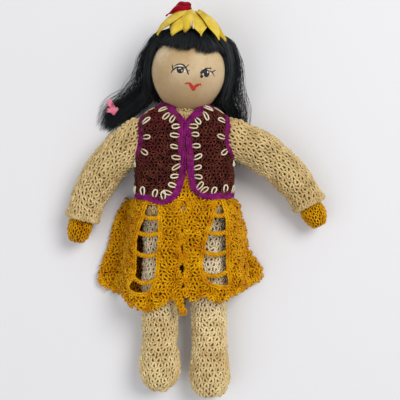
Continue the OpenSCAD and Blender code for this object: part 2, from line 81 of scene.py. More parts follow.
def tubes(paths, radius, out, sides=5, tone=None, flat=1.0, taper=None):
    """Round yarns along many paths at once. paths is (n, k, 3). Each ring is the path's point plus
    radius times the cosine along an axis square to the path and the sine along the outward axis,
    which flat squeezes. taper (k,) scales the radius along the path."""
    paths = np.asarray(paths, float)
    n, k, _ = paths.shape
    along = np.gradient(paths, axis=1)
    along /= np.linalg.norm(along, axis=2, keepdims=True) + 1e-9
    out = np.broadcast_to(out, paths.shape)
    across = np.cross(out, along)
    across /= np.linalg.norm(across, axis=2, keepdims=True) + 1e-9
    lift = np.cross(along, across)
    turn = 2 * np.pi * np.arange(sides) / sides
    size = np.broadcast_to(radius, (n,))[:, None] * (np.ones(k) if taper is None else taper)
    ring = (np.cos(turn)[:, None] * across[:, :, None] + flat * np.sin(turn)[:, None] * lift[:, :, None])
    points = paths[:, :, None] + size[:, :, None, None] * ring
    i, j, s = np.meshgrid(np.arange(n), np.arange(k - 1), np.arange(sides), indexing="ij")
    base = i * k * sides + j * sides
    nxt = (s + 1) % sides
    quads = np.stack([base + s, base + nxt, base + sides + nxt, base + sides + s], -1).reshape(-1, 4)
    first = np.arange(n)[:, None] * k * sides + np.arange(sides)[::-1]
    last = np.arange(n)[:, None] * k * sides + (k - 1) * sides + np.arange(sides)
    length = np.cumsum(np.linalg.norm(np.diff(paths, axis=1, prepend=paths[:, :1]), axis=2), axis=1)
    near, far = length[i, j], length[i, j + 1]
    uv = np.stack([np.stack([near, s / sides], -1), np.stack([near, (s + 1) / sides], -1),
                   np.stack([far, (s + 1) / sides], -1), np.stack([far, s / sides], -1)], -2).reshape(-1, 4, 2)
    tone = np.zeros(n) if tone is None else np.broadcast_to(tone, (n,))
    return points.reshape(-1, 3), quads, np.concatenate([first, last]), uv, np.repeat(tone, k * sides)


def sheet_grid(points, tone=-1.0, closed_u=False):
    """A surface from a grid of points (rows, columns, 3), joined round when closed_u is true. Its tone is
    -1 unless given, which a yarn colours with its painted shade of the depths.
    """
    r, c, _ = points.shape
    wide = c if closed_u else c - 1
    j, i = np.meshgrid(np.arange(r - 1), np.arange(wide), indexing="ij")
    nxt = (i + 1) % c
    quads = np.stack([j * c + i, j * c + nxt, (j + 1) * c + nxt, (j + 1) * c + i], -1).reshape(-1, 4)
    uv = np.stack([np.stack([i, j], -1), np.stack([i + 1, j], -1), np.stack([i + 1, j + 1], -1),
                   np.stack([i, j + 1], -1)], -2).reshape(-1, 4, 2) * 1.0
    return points.reshape(-1, 3), quads, np.zeros((0, 5), int), uv, np.full(r * c, float(tone))


def together(name, *parts):
    """One mesh from several (points, quads, caps, uv, tone) parts."""
    shift = np.cumsum([0] + [len(p[0]) for p in parts[:-1]])
    caps = [p[2] + s for p, s in zip(parts, shift) if len(p[2])]
    return make_mesh(name, np.concatenate([p[0] for p in parts]),
                     np.concatenate([p[1] + s for p, s in zip(parts, shift)]),
                     np.concatenate(caps) if caps else None,
                     np.concatenate([p[3] for p in parts]), np.concatenate([p[4] for p in parts]))


def normals(surface, u, v):
    """The outward normal of surface(u, v): the cross product of its two slopes."""
    e = 1e-3
    du = surface(u + e, v) - surface(u - e, v)
    dv = surface(u, v + 50 * e) - surface(u, v - 50 * e)
    n = np.cross(du, dv)
    return n / (np.linalg.norm(n, axis=-1, keepdims=True) + 1e-12)


# One stitch as a loop of yarn in its own cell: share across, share along, height in yarn widths.
STITCH = np.array([[0.03, -0.66, 0.1], [-0.13, -0.42, 0.75], [-0.27, -0.14, 1.1], [-0.35, 0.16, 1.1],
                   [-0.28, 0.42, 0.7], [0.0, 0.55, 0.35], [0.28, 0.42, 0.7], [0.35, 0.16, 1.1],
                   [0.27, -0.14, 1.1], [0.13, -0.42, 0.75], [-0.03, -0.66, 0.1]])


def stitch_loops(surface, u, v, du, dv, yarn, seed, side=1, slant=0.12, sides=5, loop=STITCH, spin=0.0,
                 rise=(0.8, 1.2)):
    """Crochet laid on a surface: each cell at (u, v), du wide and dv high, holds one loop whose points
    are the cell's centre plus the loop's shares of the cell, lifted along the normal. spin is how
    far, in radians, the loops are turned at random, and rise the range of their heights."""
    rng = np.random.default_rng(seed)
    n = len(u)
    wob = rng.normal(0, 0.045, (n, 1, 2))
    a = loop[None, :, 0] + wob[..., 0] + slant * loop[None, :, 1] + rng.normal(0, 0.02, (n, len(loop)))
    b = loop[None, :, 1] + wob[..., 1]
    turn = rng.normal(0, spin, (n, 1))
    a, b = a * np.cos(turn) - b * np.sin(turn), a * np.sin(turn) + b * np.cos(turn)
    high = loop[None, :, 2] * yarn * rng.uniform(*rise, (n, 1)) * 2
    uu, vv = u[:, None] + a * np.reshape(du, (-1, 1)), v[:, None] + b * np.reshape(dv, (-1, 1))
    out = normals(surface, uu, vv) * side
    paths = surface(uu, vv) + out * high[..., None]
    return tubes(paths, yarn * rng.uniform(0.9, 1.1, n), out, sides=sides, tone=rng.uniform(0, 1, n))


def round_cells(start, stop, step, girth, pitch, twist=0.2):
    """Cells of rounds stacked from start to stop: each round has as many stitches as its girth takes."""
    u, v, du = [], [], []
    for row, mid in enumerate(np.arange(start + step / 2, stop, step)):
        count = max(4, int(round(girth(mid) / pitch)))
        u.append((np.arange(count) + 0.5 * (row % 2) + twist * row) / count)
        v.append(np.full(count, mid))
        du.append(np.full(count, 1 / count))
    return np.concatenate(u), np.concatenate(v), np.concatenate(du)


def yarn_material(name, dark, light, gap_shade, stain=None, stain_amount=0.5, sheen=0.15, rough=0.8, shine=0.3,
                  patch_size=160, twist=(1.3, 1.0), groove_shade=0.35, drift=None):
    """Plied yarn: light and dark strands by each loop's tone, patches by noise on the object, the twist of the
    ply as slanting grooves along the yarn's own length, darkened in the grooves as painted shade, and a
    dark colour painted as the shade of the depths on all that has a tone below zero. drift is another
    colour that comes in up the object, between two heights, by the given amount."""
    mat = bpy.data.materials.new(name)
    mat.use_nodes = True
    tree = mat.node_tree
    node = lambda kind: tree.nodes.new("ShaderNode" + kind)
    link = tree.links.new
    shader = tree.nodes["Principled BSDF"]
    shader.inputs["Roughness"].default_value = rough
    shader.inputs["Sheen Weight"].default_value = sheen
    shader.inputs["Sheen Roughness"].default_value = 0.45
    shader.inputs["Sheen Tint"].default_value = (*light, 1)
    shader.inputs["Specular IOR Level"].default_value = shine
    shader.inputs["Specular Tint"].default_value = (*light, 1)
    place, uv, tone = node("TexCoord"), node("UVMap"), node("Attribute")
    uv.uv_map, tone.attribute_name = "Yarn", "tone"

    def noise(scale, detail=3.0, source=None):
        n = node("TexNoise")
        n.inputs["Scale"].default_value, n.inputs["Detail"].default_value = scale, detail
        link(source or place.outputs["Object"], n.inputs["Vector"])
        return n.outputs["Fac"]

    def math(kind, a, b=None, c=None):
        n = node("Math")
        n.operation = kind
        for socket, value in zip(n.inputs, (a, b, c)):
            if value is None:
                continue
            if isinstance(value, (int, float)):
                socket.default_value = value
            else:
                link(value, socket)
        return n.outputs[0]

    def mix(fac, a, b):
        n = node("Mix")
        n.data_type = "RGBA"
        for socket, value in zip((n.inputs[0], n.inputs[6], n.inputs[7]), (fac, a, b)):
            if isinstance(value, tuple):
                socket.default_value = (*value, 1)
            elif isinstance(value, (int, float)):
                socket.default_value = value
            else:
                link(value, socket)
        return n.outputs[2]

    def stretch(value, low, high):
        n = node("MapRange")
        n.inputs["From Min"].default_value, n.inputs["From Max"].default_value = low, high
        link(value, n.inputs["Value"])
        return n.outputs["Result"]

    split = node("SeparateXYZ")
    link(uv.outputs["UV"], split.inputs[0])
    ply = math("SINE", math("MULTIPLY", math("ADD", math("MULTIPLY", split.outputs[0], twist[0]),
                                             math("MULTIPLY", split.outputs[1], twist[1])), 6.2832))
    groove = stretch(ply, -1, 1)
    fibre = noise(2600, 2)
    blend = stretch(math("ADD", math("MULTIPLY", tone.outputs["Fac"], 0.6),
                         math("MULTIPLY", stretch(noise(patch_size, 4), 0.3, 0.7), 0.5)), 0.1, 1.0)
    colour = mix(blend, dark, light)
    if stain:
        blot = math("MULTIPLY", stretch(noise(95, 5), 0.5, 0.72), stain_amount)
        colour = mix(blot, colour, stain)
    if drift:
        up = node("SeparateXYZ")
        link(place.outputs["Object"], up.inputs[0])
        other, start, end, amount = drift
        colour = mix(math("MULTIPLY", stretch(up.outputs[1], start, end), amount), colour, other)
    # Painted shade: the yarn's colour is darkened in the slanting grooves between its plies.
    groove_shade_share = math("MULTIPLY", math("SUBTRACT", 1.0, groove), groove_shade)
    colour = mix(groove_shade_share, colour, tuple(c * 0.45 for c in dark))
    fuzz = math("MULTIPLY", stretch(fibre, 0.35, 0.75), 0.18)
    colour = mix(fuzz, colour, tuple(min(1, c * 1.25) for c in light))
    # Painted shade: the ground under the loops, with a tone below zero, takes the dark colour of the depths
    # between the stitches.
    gap_shade_share = stretch(tone.outputs["Fac"], -0.02, -0.9)
    colour = mix(gap_shade_share, colour, gap_shade)
    link(colour, shader.inputs["Base Color"])
    bump = node("Bump")
    bump.inputs["Strength"].default_value, bump.inputs["Distance"].default_value = 0.55, 0.00012
    link(math("ADD", groove, math("MULTIPLY", fibre, 0.6)), bump.inputs["Height"])
    link(bump.outputs["Normal"], shader.inputs["Normal"])
    return mat


def wear(piece, material, body):
    """Gives a piece its material, and lets it ride on one body when one is given."""
    piece.data.materials.append(material)
    if body:
        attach(piece, body)


# The third colour of each yarn is its painted shade for the depths under the loops.
ecru = yarn_material("ecru cotton", (0.50, 0.35, 0.15), (0.86, 0.66, 0.33), (0.36, 0.24, 0.10),
                     stain=(0.52, 0.30, 0.09), stain_amount=0.5)
# Painted light: the legs' yarn is painted paler towards the hips, up under the skirt, to lift the shade that
# the skirt casts on them.
leg_ecru_painted_light = yarn_material("ecru cotton, painted lighter above", (0.60, 0.42, 0.185), (0.97, 0.77, 0.42),
                         (0.44, 0.30, 0.13),
                         stain=(0.54, 0.30, 0.09), stain_amount=0.6,
                         drift=((0.97, 0.90, 0.74), -0.045, -0.030, 0.6))

HIP = np.array([9.6, -5.0, 9.85])
THIGH, ANKLE, FOOT = 7.2, 6.9, 8.0
LEG = {-1: 68.0, 1: 71.0}
YARN = 0.47


def leg_surface(side):
    """The skin of one leg, as a surface of turn and distance below the hip."""
    def surface(u, v):
        """A tube round the leg's line: u is the turn, v the distance below the hip in millimetres.
        Its radius is the thigh's, then the ankle's, then the foot's, with half balls at both ends."""
        toe = LEG[side] - FOOT
        v = np.clip(v, -THIGH + 0.15, toe + FOOT - 0.15)
        grow = np.clip((v - toe * 0.78) / (toe * 0.22), 0, 1)
        girth = THIGH + (ANKLE - THIGH) * np.clip(v / (toe * 0.8), 0, 1)
        girth = girth + (FOOT - ANKLE) * (1 - np.cos(np.pi * grow)) / 2
        girth = np.where(v < 0, np.sqrt(np.maximum(THIGH ** 2 - v ** 2, 0)), girth)
        girth = np.where(v > toe, np.sqrt(np.maximum(FOOT ** 2 - (v - toe) ** 2, 0)), girth)
        girth = girth * (1 + 0.02 * np.sin(v * 0.37 + side)) - 1.0 * np.minimum(1, girth / 4)
        sink = (FOOT + 0.2 - HIP[2]) * np.clip(v / toe, 0, 1)
        x = side * (HIP[0] + 0.6 * v / LEG[-1]) + girth * np.cos(2 * np.pi * u)
        return np.stack([x, HIP[1] - v, HIP[2] + sink + girth * np.sin(2 * np.pi * u)], -1)
    return surface


def tube_girth(surface):
    """The distance round a tube surface at v, from the sum of 24 chords."""
    turn = np.linspace(0, 1, 25)
    return lambda v: np.linalg.norm(np.diff(surface(turn, np.full(25, float(v))), axis=0), axis=1).sum()


def under_skin(surface, low, high, rows, inset=0.25, side=1):
    """The ground of a crocheted tube, just under its loops, coloured with the yarn's painted shade."""
    u, v = np.meshgrid(np.arange(40) / 40, np.linspace(low, high, rows))
    return sheet_grid(surface(u, v) - side * inset * normals(surface, u, v), closed_u=True)


for name, side in (("left", -1), ("right", 1)):
    surface = leg_surface(side)
    u, v, du = round_cells(-THIGH + 1, LEG[side] - 0.6, 2.0, tube_girth(surface), 2.15)
    cells = stitch_loops(surface, u, v, du, 2.1, YARN, seed=11 + side, spin=0.3, rise=(0.5, 1.2))
    leg = together("leg_" + name + "_crochet", cells, under_skin(surface, -THIGH + 0.2, LEG[side] - 0.2, 60))
    wear(leg, leg_ecru_painted_light, "leg_" + name)
    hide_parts("leg_" + name + "_skin", "leg_" + name + "_stuffing")

# Arms: one curved tube of single crochet each, from a ball end in the armhole to an open cuff with a
# rim, over filling and a soft wire. The middle of the tube is the elbow.

SHOULDER = np.array([18.6, 28.0, 13.3])
ARM, ARM_ROOT, ELBOW, CUFF = 40.0, 8.0, 7.5, 6.7
HAND, HAND_LONG = 4.9, 10.5
ARM_SLOPE = {-1: np.radians(33), 1: np.radians(16)}
ARM_CURVE = {-1: np.radians(42), 1: np.radians(46.5)}
# The right arm is worked a little longer than the left.
ARM_LONG = {-1: 1.0, 1: 1.055}


def arm_line(side, s):
    """The arm's middle line: an arc in the plane of the table that sinks evenly towards the cuff,
    run on straight behind the shoulder and beyond the cuff."""
    a0, bend = ARM_SLOPE[side], ARM_CURVE[side]
    inside = np.clip(s, 0, ARM)
    a, r = a0 + bend * inside / ARM, ARM_LONG[side] * ARM / bend
    x, y = r * (np.sin(a) - np.sin(a0)), r * (np.cos(a) - np.cos(a0))
    x, y = x + (s - inside) * np.cos(a), y - (s - inside) * np.sin(a)
    z = SHOULDER[2] - (SHOULDER[2] - CUFF - 0.4) * inside / ARM
    return np.stack([side * (SHOULDER[0] + x), SHOULDER[1] + y, z], -1), a


def round_line(middle, a, side, girth, u):
    """A point at turn u on a circle of size girth, square to a line that slopes down by a."""
    out = np.stack([side * np.sin(a), np.cos(a), 0 * a], -1)
    up = np.stack([0 * a, 0 * a, 1 + 0 * a], -1)
    turn = 2 * np.pi * u[..., None]
    return middle + girth[..., None] * (np.cos(turn) * out + np.sin(turn) * up)


def arm_surface(side):
    def surface(u, v):
        """A tube round the arm's line: radius from shoulder to elbow to cuff, a ball end behind the
        shoulder, a little wavy where the filling has packed."""
        u, v = np.broadcast_arrays(u, v)
        v = np.maximum(v, -ARM_ROOT + 0.15)
        middle, a = arm_line(side, v)
        girth = np.interp(v, [0, ARM / 2, ARM - 3, ARM], [ARM_ROOT, ELBOW, CUFF - 0.1, CUFF + 0.25])
        girth = np.where(v < 0, np.sqrt(np.maximum(ARM_ROOT ** 2 - v ** 2, 0)), girth)
        girth = girth * (1 + 0.018 * np.sin(v * 0.45 + 2 * side)) - 1.0 * np.minimum(1, girth / 4)
        return round_line(middle, a, side, girth, u)
    return surface


def hand_surface(side):
    def surface(u, v):
        """A mitten: round, narrowing to a blunt tip, v being the distance beyond the cuff."""
        u, v = np.broadcast_arrays(u, v)
        middle, a = arm_line(side, ARM + v)
        tip = np.clip(v - HAND_LONG / 3, 0, HAND_LONG * 2 / 3)
        girth = HAND * np.sqrt(np.maximum(1 - (tip / (HAND_LONG * 2 / 3 + 0.02)) ** 2.2, 0.0001))
        girth = girth * np.interp(v, [-3, 1, 3], [0.8, 0.93, 1])
        return round_line(middle, a, side, girth - 0.7 * np.minimum(1, girth / 3), u)
    return surface


gold = yarn_material("gold thread", (0.47, 0.130, 0.002), (1.0, 0.545, 0.009), (0.22, 0.052, 0.001),
                     groove_shade=0.6,
                     stain=(0.52, 0.17, 0.003), stain_amount=0.55, sheen=0.25, rough=0.5, shine=0.5)
rim_turn = np.arange(24) / 24
for name, side in (("left", -1), ("right", 1)):
    surface = arm_surface(side)
    u, v, du = round_cells(-ARM_ROOT + 1, ARM - 0.4, 1.9, tube_girth(surface), 2.15)
    cells = stitch_loops(surface, u, v, du, 2.0, YARN, seed=31 + side, side=side, spin=0.3, rise=(0.5, 1.2))
    rim = stitch_loops(surface, rim_turn, np.full(24, ARM - 0.1), 1 / 24, 1.3, 0.42, seed=35 + side,
                       side=side)
    # The ground under the arm's loops, closed at the cuff, is coloured with the painted shade of the depths.
    u, v = np.meshgrid(np.arange(40) / 40, np.linspace(-ARM_ROOT + 0.2, ARM - 0.3, 40))
    skin = surface(u, v) - side * 0.25 * normals(surface, u, v)
    middle = arm_line(side, np.float64(ARM - 1.5))[0]
    shares = np.array([0.86, 0.5, 0.02])[:, None, None]
    skin = np.concatenate([skin, middle + (skin[-1] - middle) * shares])
    arm = together("arm_" + name + "_crochet", cells, rim, sheet_grid(skin, closed_u=True))
    wear(arm, ecru, None)
    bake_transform(arm)
    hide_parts(*["arm_%s_%s" % (name, p) for p in ("upper_skin", "upper_stuffing", "upper_wire",
                                                          "fore_skin", "fore_stuffing", "fore_wire")])

    # The hand is worked in gold thread, a little smaller than the cuff that it is sewn into.
    surface = hand_surface(side)
    u, v, du = round_cells(-1.5, 10.2, 1.6, tube_girth(surface), 1.75)
    cells = stitch_loops(surface, u, v, du, 1.6, 0.28, seed=41 + side, side=side)
    hand = together("hand_" + name, cells, under_skin(surface, -2.5, 10.4, 20, inset=0.2, side=side))
    wear(hand, gold, "forearm_" + name)
    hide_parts("arm_" + name + "_hand")


# Torso and neck: a flat stuffed tube of the same crochet. It shows in the neck opening, between the
# two fronts of the vest and in the armholes.

TORSO_Z, TORSO_HALF_W, TORSO_HALF_T = 13.3, 17.0, 9.1


def body_surface(off):
    """The torso's skin grown by off, as a surface of distance round and height, with half its girth:
    across and deep, the outline follows a sine and a cosine raised to the power 2 / 3.2."""
    angle = np.radians(np.linspace(-180, 180, 721))
    bow = lambda t: np.sign(t) * np.abs(t) ** (2 / 3.2)
    x, z = bow(np.sin(angle)) * TORSO_HALF_W, bow(np.cos(angle)) * TORSO_HALF_T
    arc = np.concatenate([[0], np.cumsum(np.hypot(np.diff(x), np.diff(z)))])
    arc -= arc[360]

    def surface(u, v):
        """The torso's rounded oblong grown by off: u is the distance round from the middle of the
        chest at the widest girth, v the height, with the shoulders drawn in."""
        a = np.interp(u, arc, angle)
        wide = np.interp(v, [-4, 0, 6, 32, 36.5, 40, 42], [0.72, 0.95, 0.99, 0.985, 0.84, 0.5, 0.3])
        thick = np.interp(v, [-4, 0, 6, 32, 36.5, 40, 42], [0.8, 0.98, 1, 0.98, 0.88, 0.66, 0.5])
        return np.stack([bow(np.sin(a)) * (wide * TORSO_HALF_W + off), v + 0 * a,
                         TORSO_Z + bow(np.cos(a)) * (thick * TORSO_HALF_T + off)], -1)
    return surface, arc[-1]


surface, half_girth = body_surface(-0.75)
across, rows = np.meshgrid(np.arange(-half_girth + 1, half_girth - 1, 2.1), np.arange(-1, 40.5, 2.0))
across = across + 1.05 * (np.arange(len(rows))[:, None] % 2)
cells = stitch_loops(surface, across.ravel(), rows.ravel(), 2.1, 2.0, YARN, seed=51)
# The ground under the torso's loops, closed at both ends, is coloured with the painted shade of the depths.
u, v = np.meshgrid(np.linspace(-half_girth, half_girth, 90)[:-1], np.linspace(-4, 41.5, 40))
skin = surface(u, v) - 0.25 * normals(surface, u, v)
below, above = np.array([0, -4.2, TORSO_Z]), np.array([0, 41.5, TORSO_Z])
skin = np.concatenate([(below + (skin[0] - below) * 0.02)[None], skin,
                       (above + (skin[-1] - above) * 0.02)[None]])
torso = together("torso_crochet", cells, sheet_grid(skin, closed_u=True))
wear(torso, ecru, "torso")
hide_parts("torso_skin", "torso_stuffing", "shoulder_wire")

# The neck's line leans to the right by HEAD_LEAN and rises by NECK_RISE from its root to the head.
NECK, NECK_RISE, HEAD_LEAN = 22.3, 3.0, np.radians(4.5)
neck_flat = np.sqrt(1 - (NECK_RISE / NECK) ** 2)
neck_way = np.array([neck_flat * np.sin(HEAD_LEAN), neck_flat * np.cos(HEAD_LEAN), NECK_RISE / NECK])
head_at = np.array([0, 32.4, 14.9]) + NECK * neck_way
head_side = np.array([neck_way[1], -neck_way[0], 0]) / neck_flat
head_front = np.cross(head_side, neck_way)


def neck_surface(u, v):
    """A short tube along the neck's line: v is the distance from the middle of the head."""
    turn = 2 * np.pi * u[..., None]
    girth = 4.0 + 0.012 * (v[..., None] + 24) ** 2
    return head_at + v[..., None] * neck_way + girth * (np.cos(turn) * head_side + np.sin(turn) * head_front)


u, v, du = round_cells(-25, -12.5, 1.9, tube_girth(neck_surface), 2.1)
cells = stitch_loops(neck_surface, u, v, du, 1.9, YARN, seed=55, side=-1)
neck = together("neck_crochet", cells, under_skin(neck_surface, -25.5, -12.4, 12, side=-1))
wear(neck, ecru, "torso")
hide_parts("neck_skin", "neck_peg")


# Vest: crocheted in brown and maroon yarn, open down the front with rounded corners. A magenta
# crocheted edging goes round the neck, fronts, hem and armholes, with cream loops sewn inside it.
# Under the stitches of each panel lies a cloth cut to the same pattern, as a piece of its own, in painted
# shade.

vest_yarn = yarn_material("maroon mixed yarn", (0.028, 0.006, 0.006), (0.185, 0.052, 0.034),
                          (0.010, 0.003, 0.003),
                          stain=(0.11, 0.012, 0.02), stain_amount=0.9, sheen=0.15, patch_size=520)
magenta = yarn_material("magenta yarn", (0.10, 0.004, 0.06), (0.33, 0.022, 0.20), (0.03, 0.001, 0.02),
                        sheen=0.2)
cream = yarn_material("cream embroidery thread", (0.72, 0.58, 0.36), (0.95, 0.88, 0.68), (0.3, 0.2, 0.1),
                      sheen=0.2)
VEST_OFF = 2.1
vest_surface, vest_half = body_surface(VEST_OFF)
SEAM = vest_half / 2


def smooth_line(points, step, closed=False):
    """A rounded line through a few points of the flat pattern, evenly spaced by step: each span is a
    cubic whose slope at a point is half the way between its neighbours."""
    p = np.asarray(points, float)
    ends = (p[-1:], p[:2]) if closed else (2 * p[:1] - p[1:2], 2 * p[-1:] - p[-2:-1])
    p = np.concatenate([ends[0], p, ends[1]])
    t = np.linspace(0, 1, 24, endpoint=False)[None, :, None]
    a, b, c, d = p[:-3, None], p[1:-2, None], p[2:-1, None], p[3:, None]
    bend, turn = 2 * a - 5 * b + 4 * c - d, 3 * b - a - 3 * c + d
    fine = 0.5 * (2 * b + (c - a) * t + bend * t ** 2 + turn * t ** 3)
    fine = np.concatenate([fine.reshape(-1, p.shape[1]), p[-2][None]])
    run = np.concatenate([[0], np.cumsum(np.linalg.norm(np.diff(fine, axis=0), axis=1))])
    even = np.linspace(0, run[-1], max(2, int(round(run[-1] / step)) + 1))
    return np.stack([np.interp(even, run, fine[:, i]) for i in range(p.shape[1])], -1)


def line_loops(surface, line, yarn, seed, long=1.0, wide=2.0, shift=0.0, side=1, loop=STITCH, sides=5,
               slant=0.12):
    """Stitches set square along a line of the flat pattern: each is long along it, wide across it,
    and shifted to its left by shift."""
    way = np.gradient(line, axis=0)
    way /= np.linalg.norm(way, axis=1, keepdims=True)
    left = np.stack([-way[:, 1], way[:, 0]], -1)
    at = line + left * shift
    rng = np.random.default_rng(seed)
    a = loop[None, :, 0] + rng.normal(0, 0.04, (len(line), 1)) + slant * loop[None, :, 1]
    b = loop[None, :, 1] + rng.normal(0, 0.04, (len(line), 1))
    spot = at[:, None] + (a * long)[..., None] * way[:, None] + (b * wide)[..., None] * left[:, None]
    out = normals(surface, spot[..., 0], spot[..., 1]) * side
    high = loop[None, :, 2] * yarn * 2 * rng.uniform(0.85, 1.2, (len(line), 1))
    return tubes(surface(spot[..., 0], spot[..., 1]) + out * high[..., None], yarn, out, sides=sides,
                 tone=rng.uniform(0, 1, len(line)))


def inside(line, x, y):
    """Whether each point is inside a closed line: the count of the line's sides crossed to its right."""
    x0, y0, x1, y1 = line[:, 0], line[:, 1], np.roll(line[:, 0], -1), np.roll(line[:, 1], -1)
    x, y = np.ravel(x)[:, None], np.ravel(y)[:, None]
    crossing = ((y0 > y) != (y1 > y)) & (x < (x1 - x0) * (y - y0) / (y1 - y0 + 1e-12) + x0)
    return crossing.sum(1) % 2 == 1


CHAIN = STITCH[:, [1, 0, 2]] * [1.0, 0.8, 1.0]
SHOULDER_EDGE = {-1: [(-8.6, 40.6), (-4.4, 37.6), (-0.9, 34.8), (-0.4, 31.5), (-0.6, 26), (-0.2, 18),
                      (-0.5, 12), (-2.2, 6.4),
                      (-5.6, 3.2), (-9, 2.9), (-13.5, 4.3), (-20, 5.2), (-SEAM, 5.4)],
                 1: [(10.2, 40.7), (6.7, 38.2), (3.0, 35.6), (1.0, 32.6), (1.5, 26), (1.9, 18), (2.3, 12.5),
                     (3.7, 7.4),
                     (7.2, 4.9), (12, 4.9), (20, 5.4), (SEAM, 5.4)]}
HOLE_AT, HOLE_WIDE, HOLE_HIGH = (SEAM - 0.6, 28.3), 6.6, 8.2
turn = np.linspace(0, 2 * np.pi, 25)[:-1]
ARMHOLE = {side: np.stack([side * (HOLE_AT[0] + HOLE_WIDE * np.cos(turn)),
                           HOLE_AT[1] + HOLE_HIGH * np.sin(turn)], -1)
           for side in (-1, 1)}
EDGE_YARN = 0.29


def scattered(low, high, dx, dy, seed):
    """Staggered rows of cells over a box, each moved a little."""
    rng = np.random.default_rng(seed)
    x, y = np.meshgrid(np.arange(low[0], high[0] + dx, dx), np.arange(low[1], high[1] + dy, dy))
    x = x + dx / 2 * (np.arange(len(y))[:, None] % 2)
    return x.ravel() + rng.normal(0, 0.12 * dx, x.size), y.ravel() + rng.normal(0, 0.1 * dy, x.size)


def backing(name, surface, pattern, holes, drop, material, body, node):
    """The cloth under crocheted stitches, coloured with the yarn's painted shade, as a sheet of its own: the
    squares of a fine grid that lie inside the flat pattern and off its holes. Its flat area is that of those
    squares."""
    low, high, step = pattern.min(0), pattern.max(0), 0.6
    gx, gy = np.meshgrid(np.arange(low[0], high[0] + step, step), np.arange(low[1], high[1] + step, step))
    part = sheet_grid(surface(gx, gy) + drop * normals(surface, gx, gy))
    mid_x, mid_y = (gx[:-1, :-1] + step / 2).ravel(), (gy[:-1, :-1] + step / 2).ravel()
    keep = inside(pattern, mid_x, mid_y)
    for hole in holes:
        keep &= ~inside(hole, mid_x, mid_y)
    used, corner = np.unique(part[1][keep], return_inverse=True)
    cloth = together(name, (part[0][used], corner.reshape(-1, 4), part[2], part[3][keep], part[4][used]))
    wear(cloth, material, body)
    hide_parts(node)
    return cloth


def panel(name, surface, pattern, seed):
    """One crocheted panel of the vest: the cells of a scattered field that fall inside its flat
    pattern, and the cloth under them."""
    x, y = scattered(pattern.min(0), pattern.max(0), 1.5, 1.4, seed)
    keep = inside(pattern, x, y)
    for hole in ARMHOLE.values():
        keep &= ~inside(hole, x, y)
    piece = together(name + "_crochet", stitch_loops(surface, x[keep], y[keep], 1.7, 1.7, 0.26, seed=seed,
                                                     spin=0.9, rise=(0.4, 1.7)))
    wear(piece, vest_yarn, "torso")
    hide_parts(name)
    backing(name + "_cloth", surface, pattern, ARMHOLE.values(), -0.1, vest_yarn, "torso",
            name)


def edging_rows(surface, line, way, seed, seed_step=10, inset=0.0):
    """Three rows of chain stitches side by side along an edge, stepping to the side given by way."""
    return [line_loops(surface, line, EDGE_YARN, seed + seed_step * row, long=2.0, wide=way,
                       shift=(shift - inset) * way,
                       loop=CHAIN, slant=0.3) for row, shift in enumerate((-0.35, 0.45, 1.1))]


for name, side in (("left", -1), ("right", 1)):
    edge = smooth_line(SHOULDER_EDGE[side], 1.3)
    top = np.array([[side * SEAM, 40.6], [edge[0, 0], 40.6]])
    panel("vest_front_" + name, vest_surface, np.concatenate([edge, top]), 61 + side)
    ring = smooth_line(ARMHOLE[side], 1.3, closed=True)[:-1]
    edging = together("vest_edging_%s_crochet" % name, *edging_rows(vest_surface, edge, side, 71 + side),
                      *edging_rows(vest_surface, ring, -side, 75 + side, inset=0.3))
    wear(edging, magenta, "torso")
    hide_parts("vest_edging_" + name)

# The back's pattern runs on from the left seam of the front, round the back, to the right seam.
far = 2 * vest_half
back_hem = smooth_line([(SEAM, 5.4), (SEAM + 14, 5.6), (vest_half, 5.6), (far - SEAM - 14, 5.6),
                        (far - SEAM, 5.4)], 1.3)


def back_surface(u, v):
    """The vest's surface with u running on past the middle of the back."""
    return vest_surface(np.where(u > vest_half, u - far, u), v)


back_neck = smooth_line([(10.2, 40.6), (16, 40.9), (26, 40.2), (vest_half, 38.4),
                         (far - 26, 40.2), (far - 16, 40.9), (far - 8.6, 40.4)], 1.3)
outline = np.concatenate([back_hem, [[far - SEAM, 40.4]], back_neck[::-1][8:-8], [[SEAM, 40.4]]])
ARMHOLE[0] = ARMHOLE[-1] + [far, 0]
panel("vest_back", back_surface, outline, 65)
edging = together("vest_edging_back_crochet", *edging_rows(back_surface, back_hem, 1, 77, seed_step=1),
                  *edging_rows(back_surface, back_neck, -1, 77, seed_step=1))
wear(edging, magenta, "torso")
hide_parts("vest_edging_back")

# The cream loops: each is a long open stitch that lies about square to the edge, inside the magenta.
LINK = np.array([[-0.22, -0.52, 0.5], [-0.38, -0.2, 1.0], [-0.42, 0.12, 1.3], [-0.28, 0.42, 1.1],
                 [0, 0.5, 0.8],
                 [0.28, 0.42, 1.1], [0.42, 0.12, 1.3], [0.38, -0.2, 1.0], [0.22, -0.52, 0.5]])
lift_surface = body_surface(VEST_OFF + 0.35)[0]
links = []
for side in (-1, 1):
    lines = smooth_line(SHOULDER_EDGE[side], 4.1), smooth_line(ARMHOLE[side], 4.6, closed=True)
    for line, way, seed in ((lines[0], side, 81), (lines[1], -side, 83)):
        rng = np.random.default_rng(seed + side)
        line = line[:-1] + rng.normal(0, 0.2, (len(line) - 1, 2))
        wide = 2.8 * way * rng.uniform(0.8, 1.1, (len(line), 1))
        links.append(line_loops(lift_surface, line, 0.3, seed, long=1.8, wide=wide, shift=2.6 * way,
                                loop=LINK,
                                slant=rng.normal(0, 0.35, (len(line), 1))))
loops = together("vest_loops_cream", *links)
wear(loops, cream, "torso")
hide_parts("vest_stitches")


# Skirt: lace crocheted in lustrous gold thread, hung from a band under the vest. Each half of the
# front has a dense middle, a column of openings crossed by sagging chains, and a flared side that
# folds out on the table. Small picots edge the hem, a row of stitches edges each half along the slit between
# them, and the back lies flat.

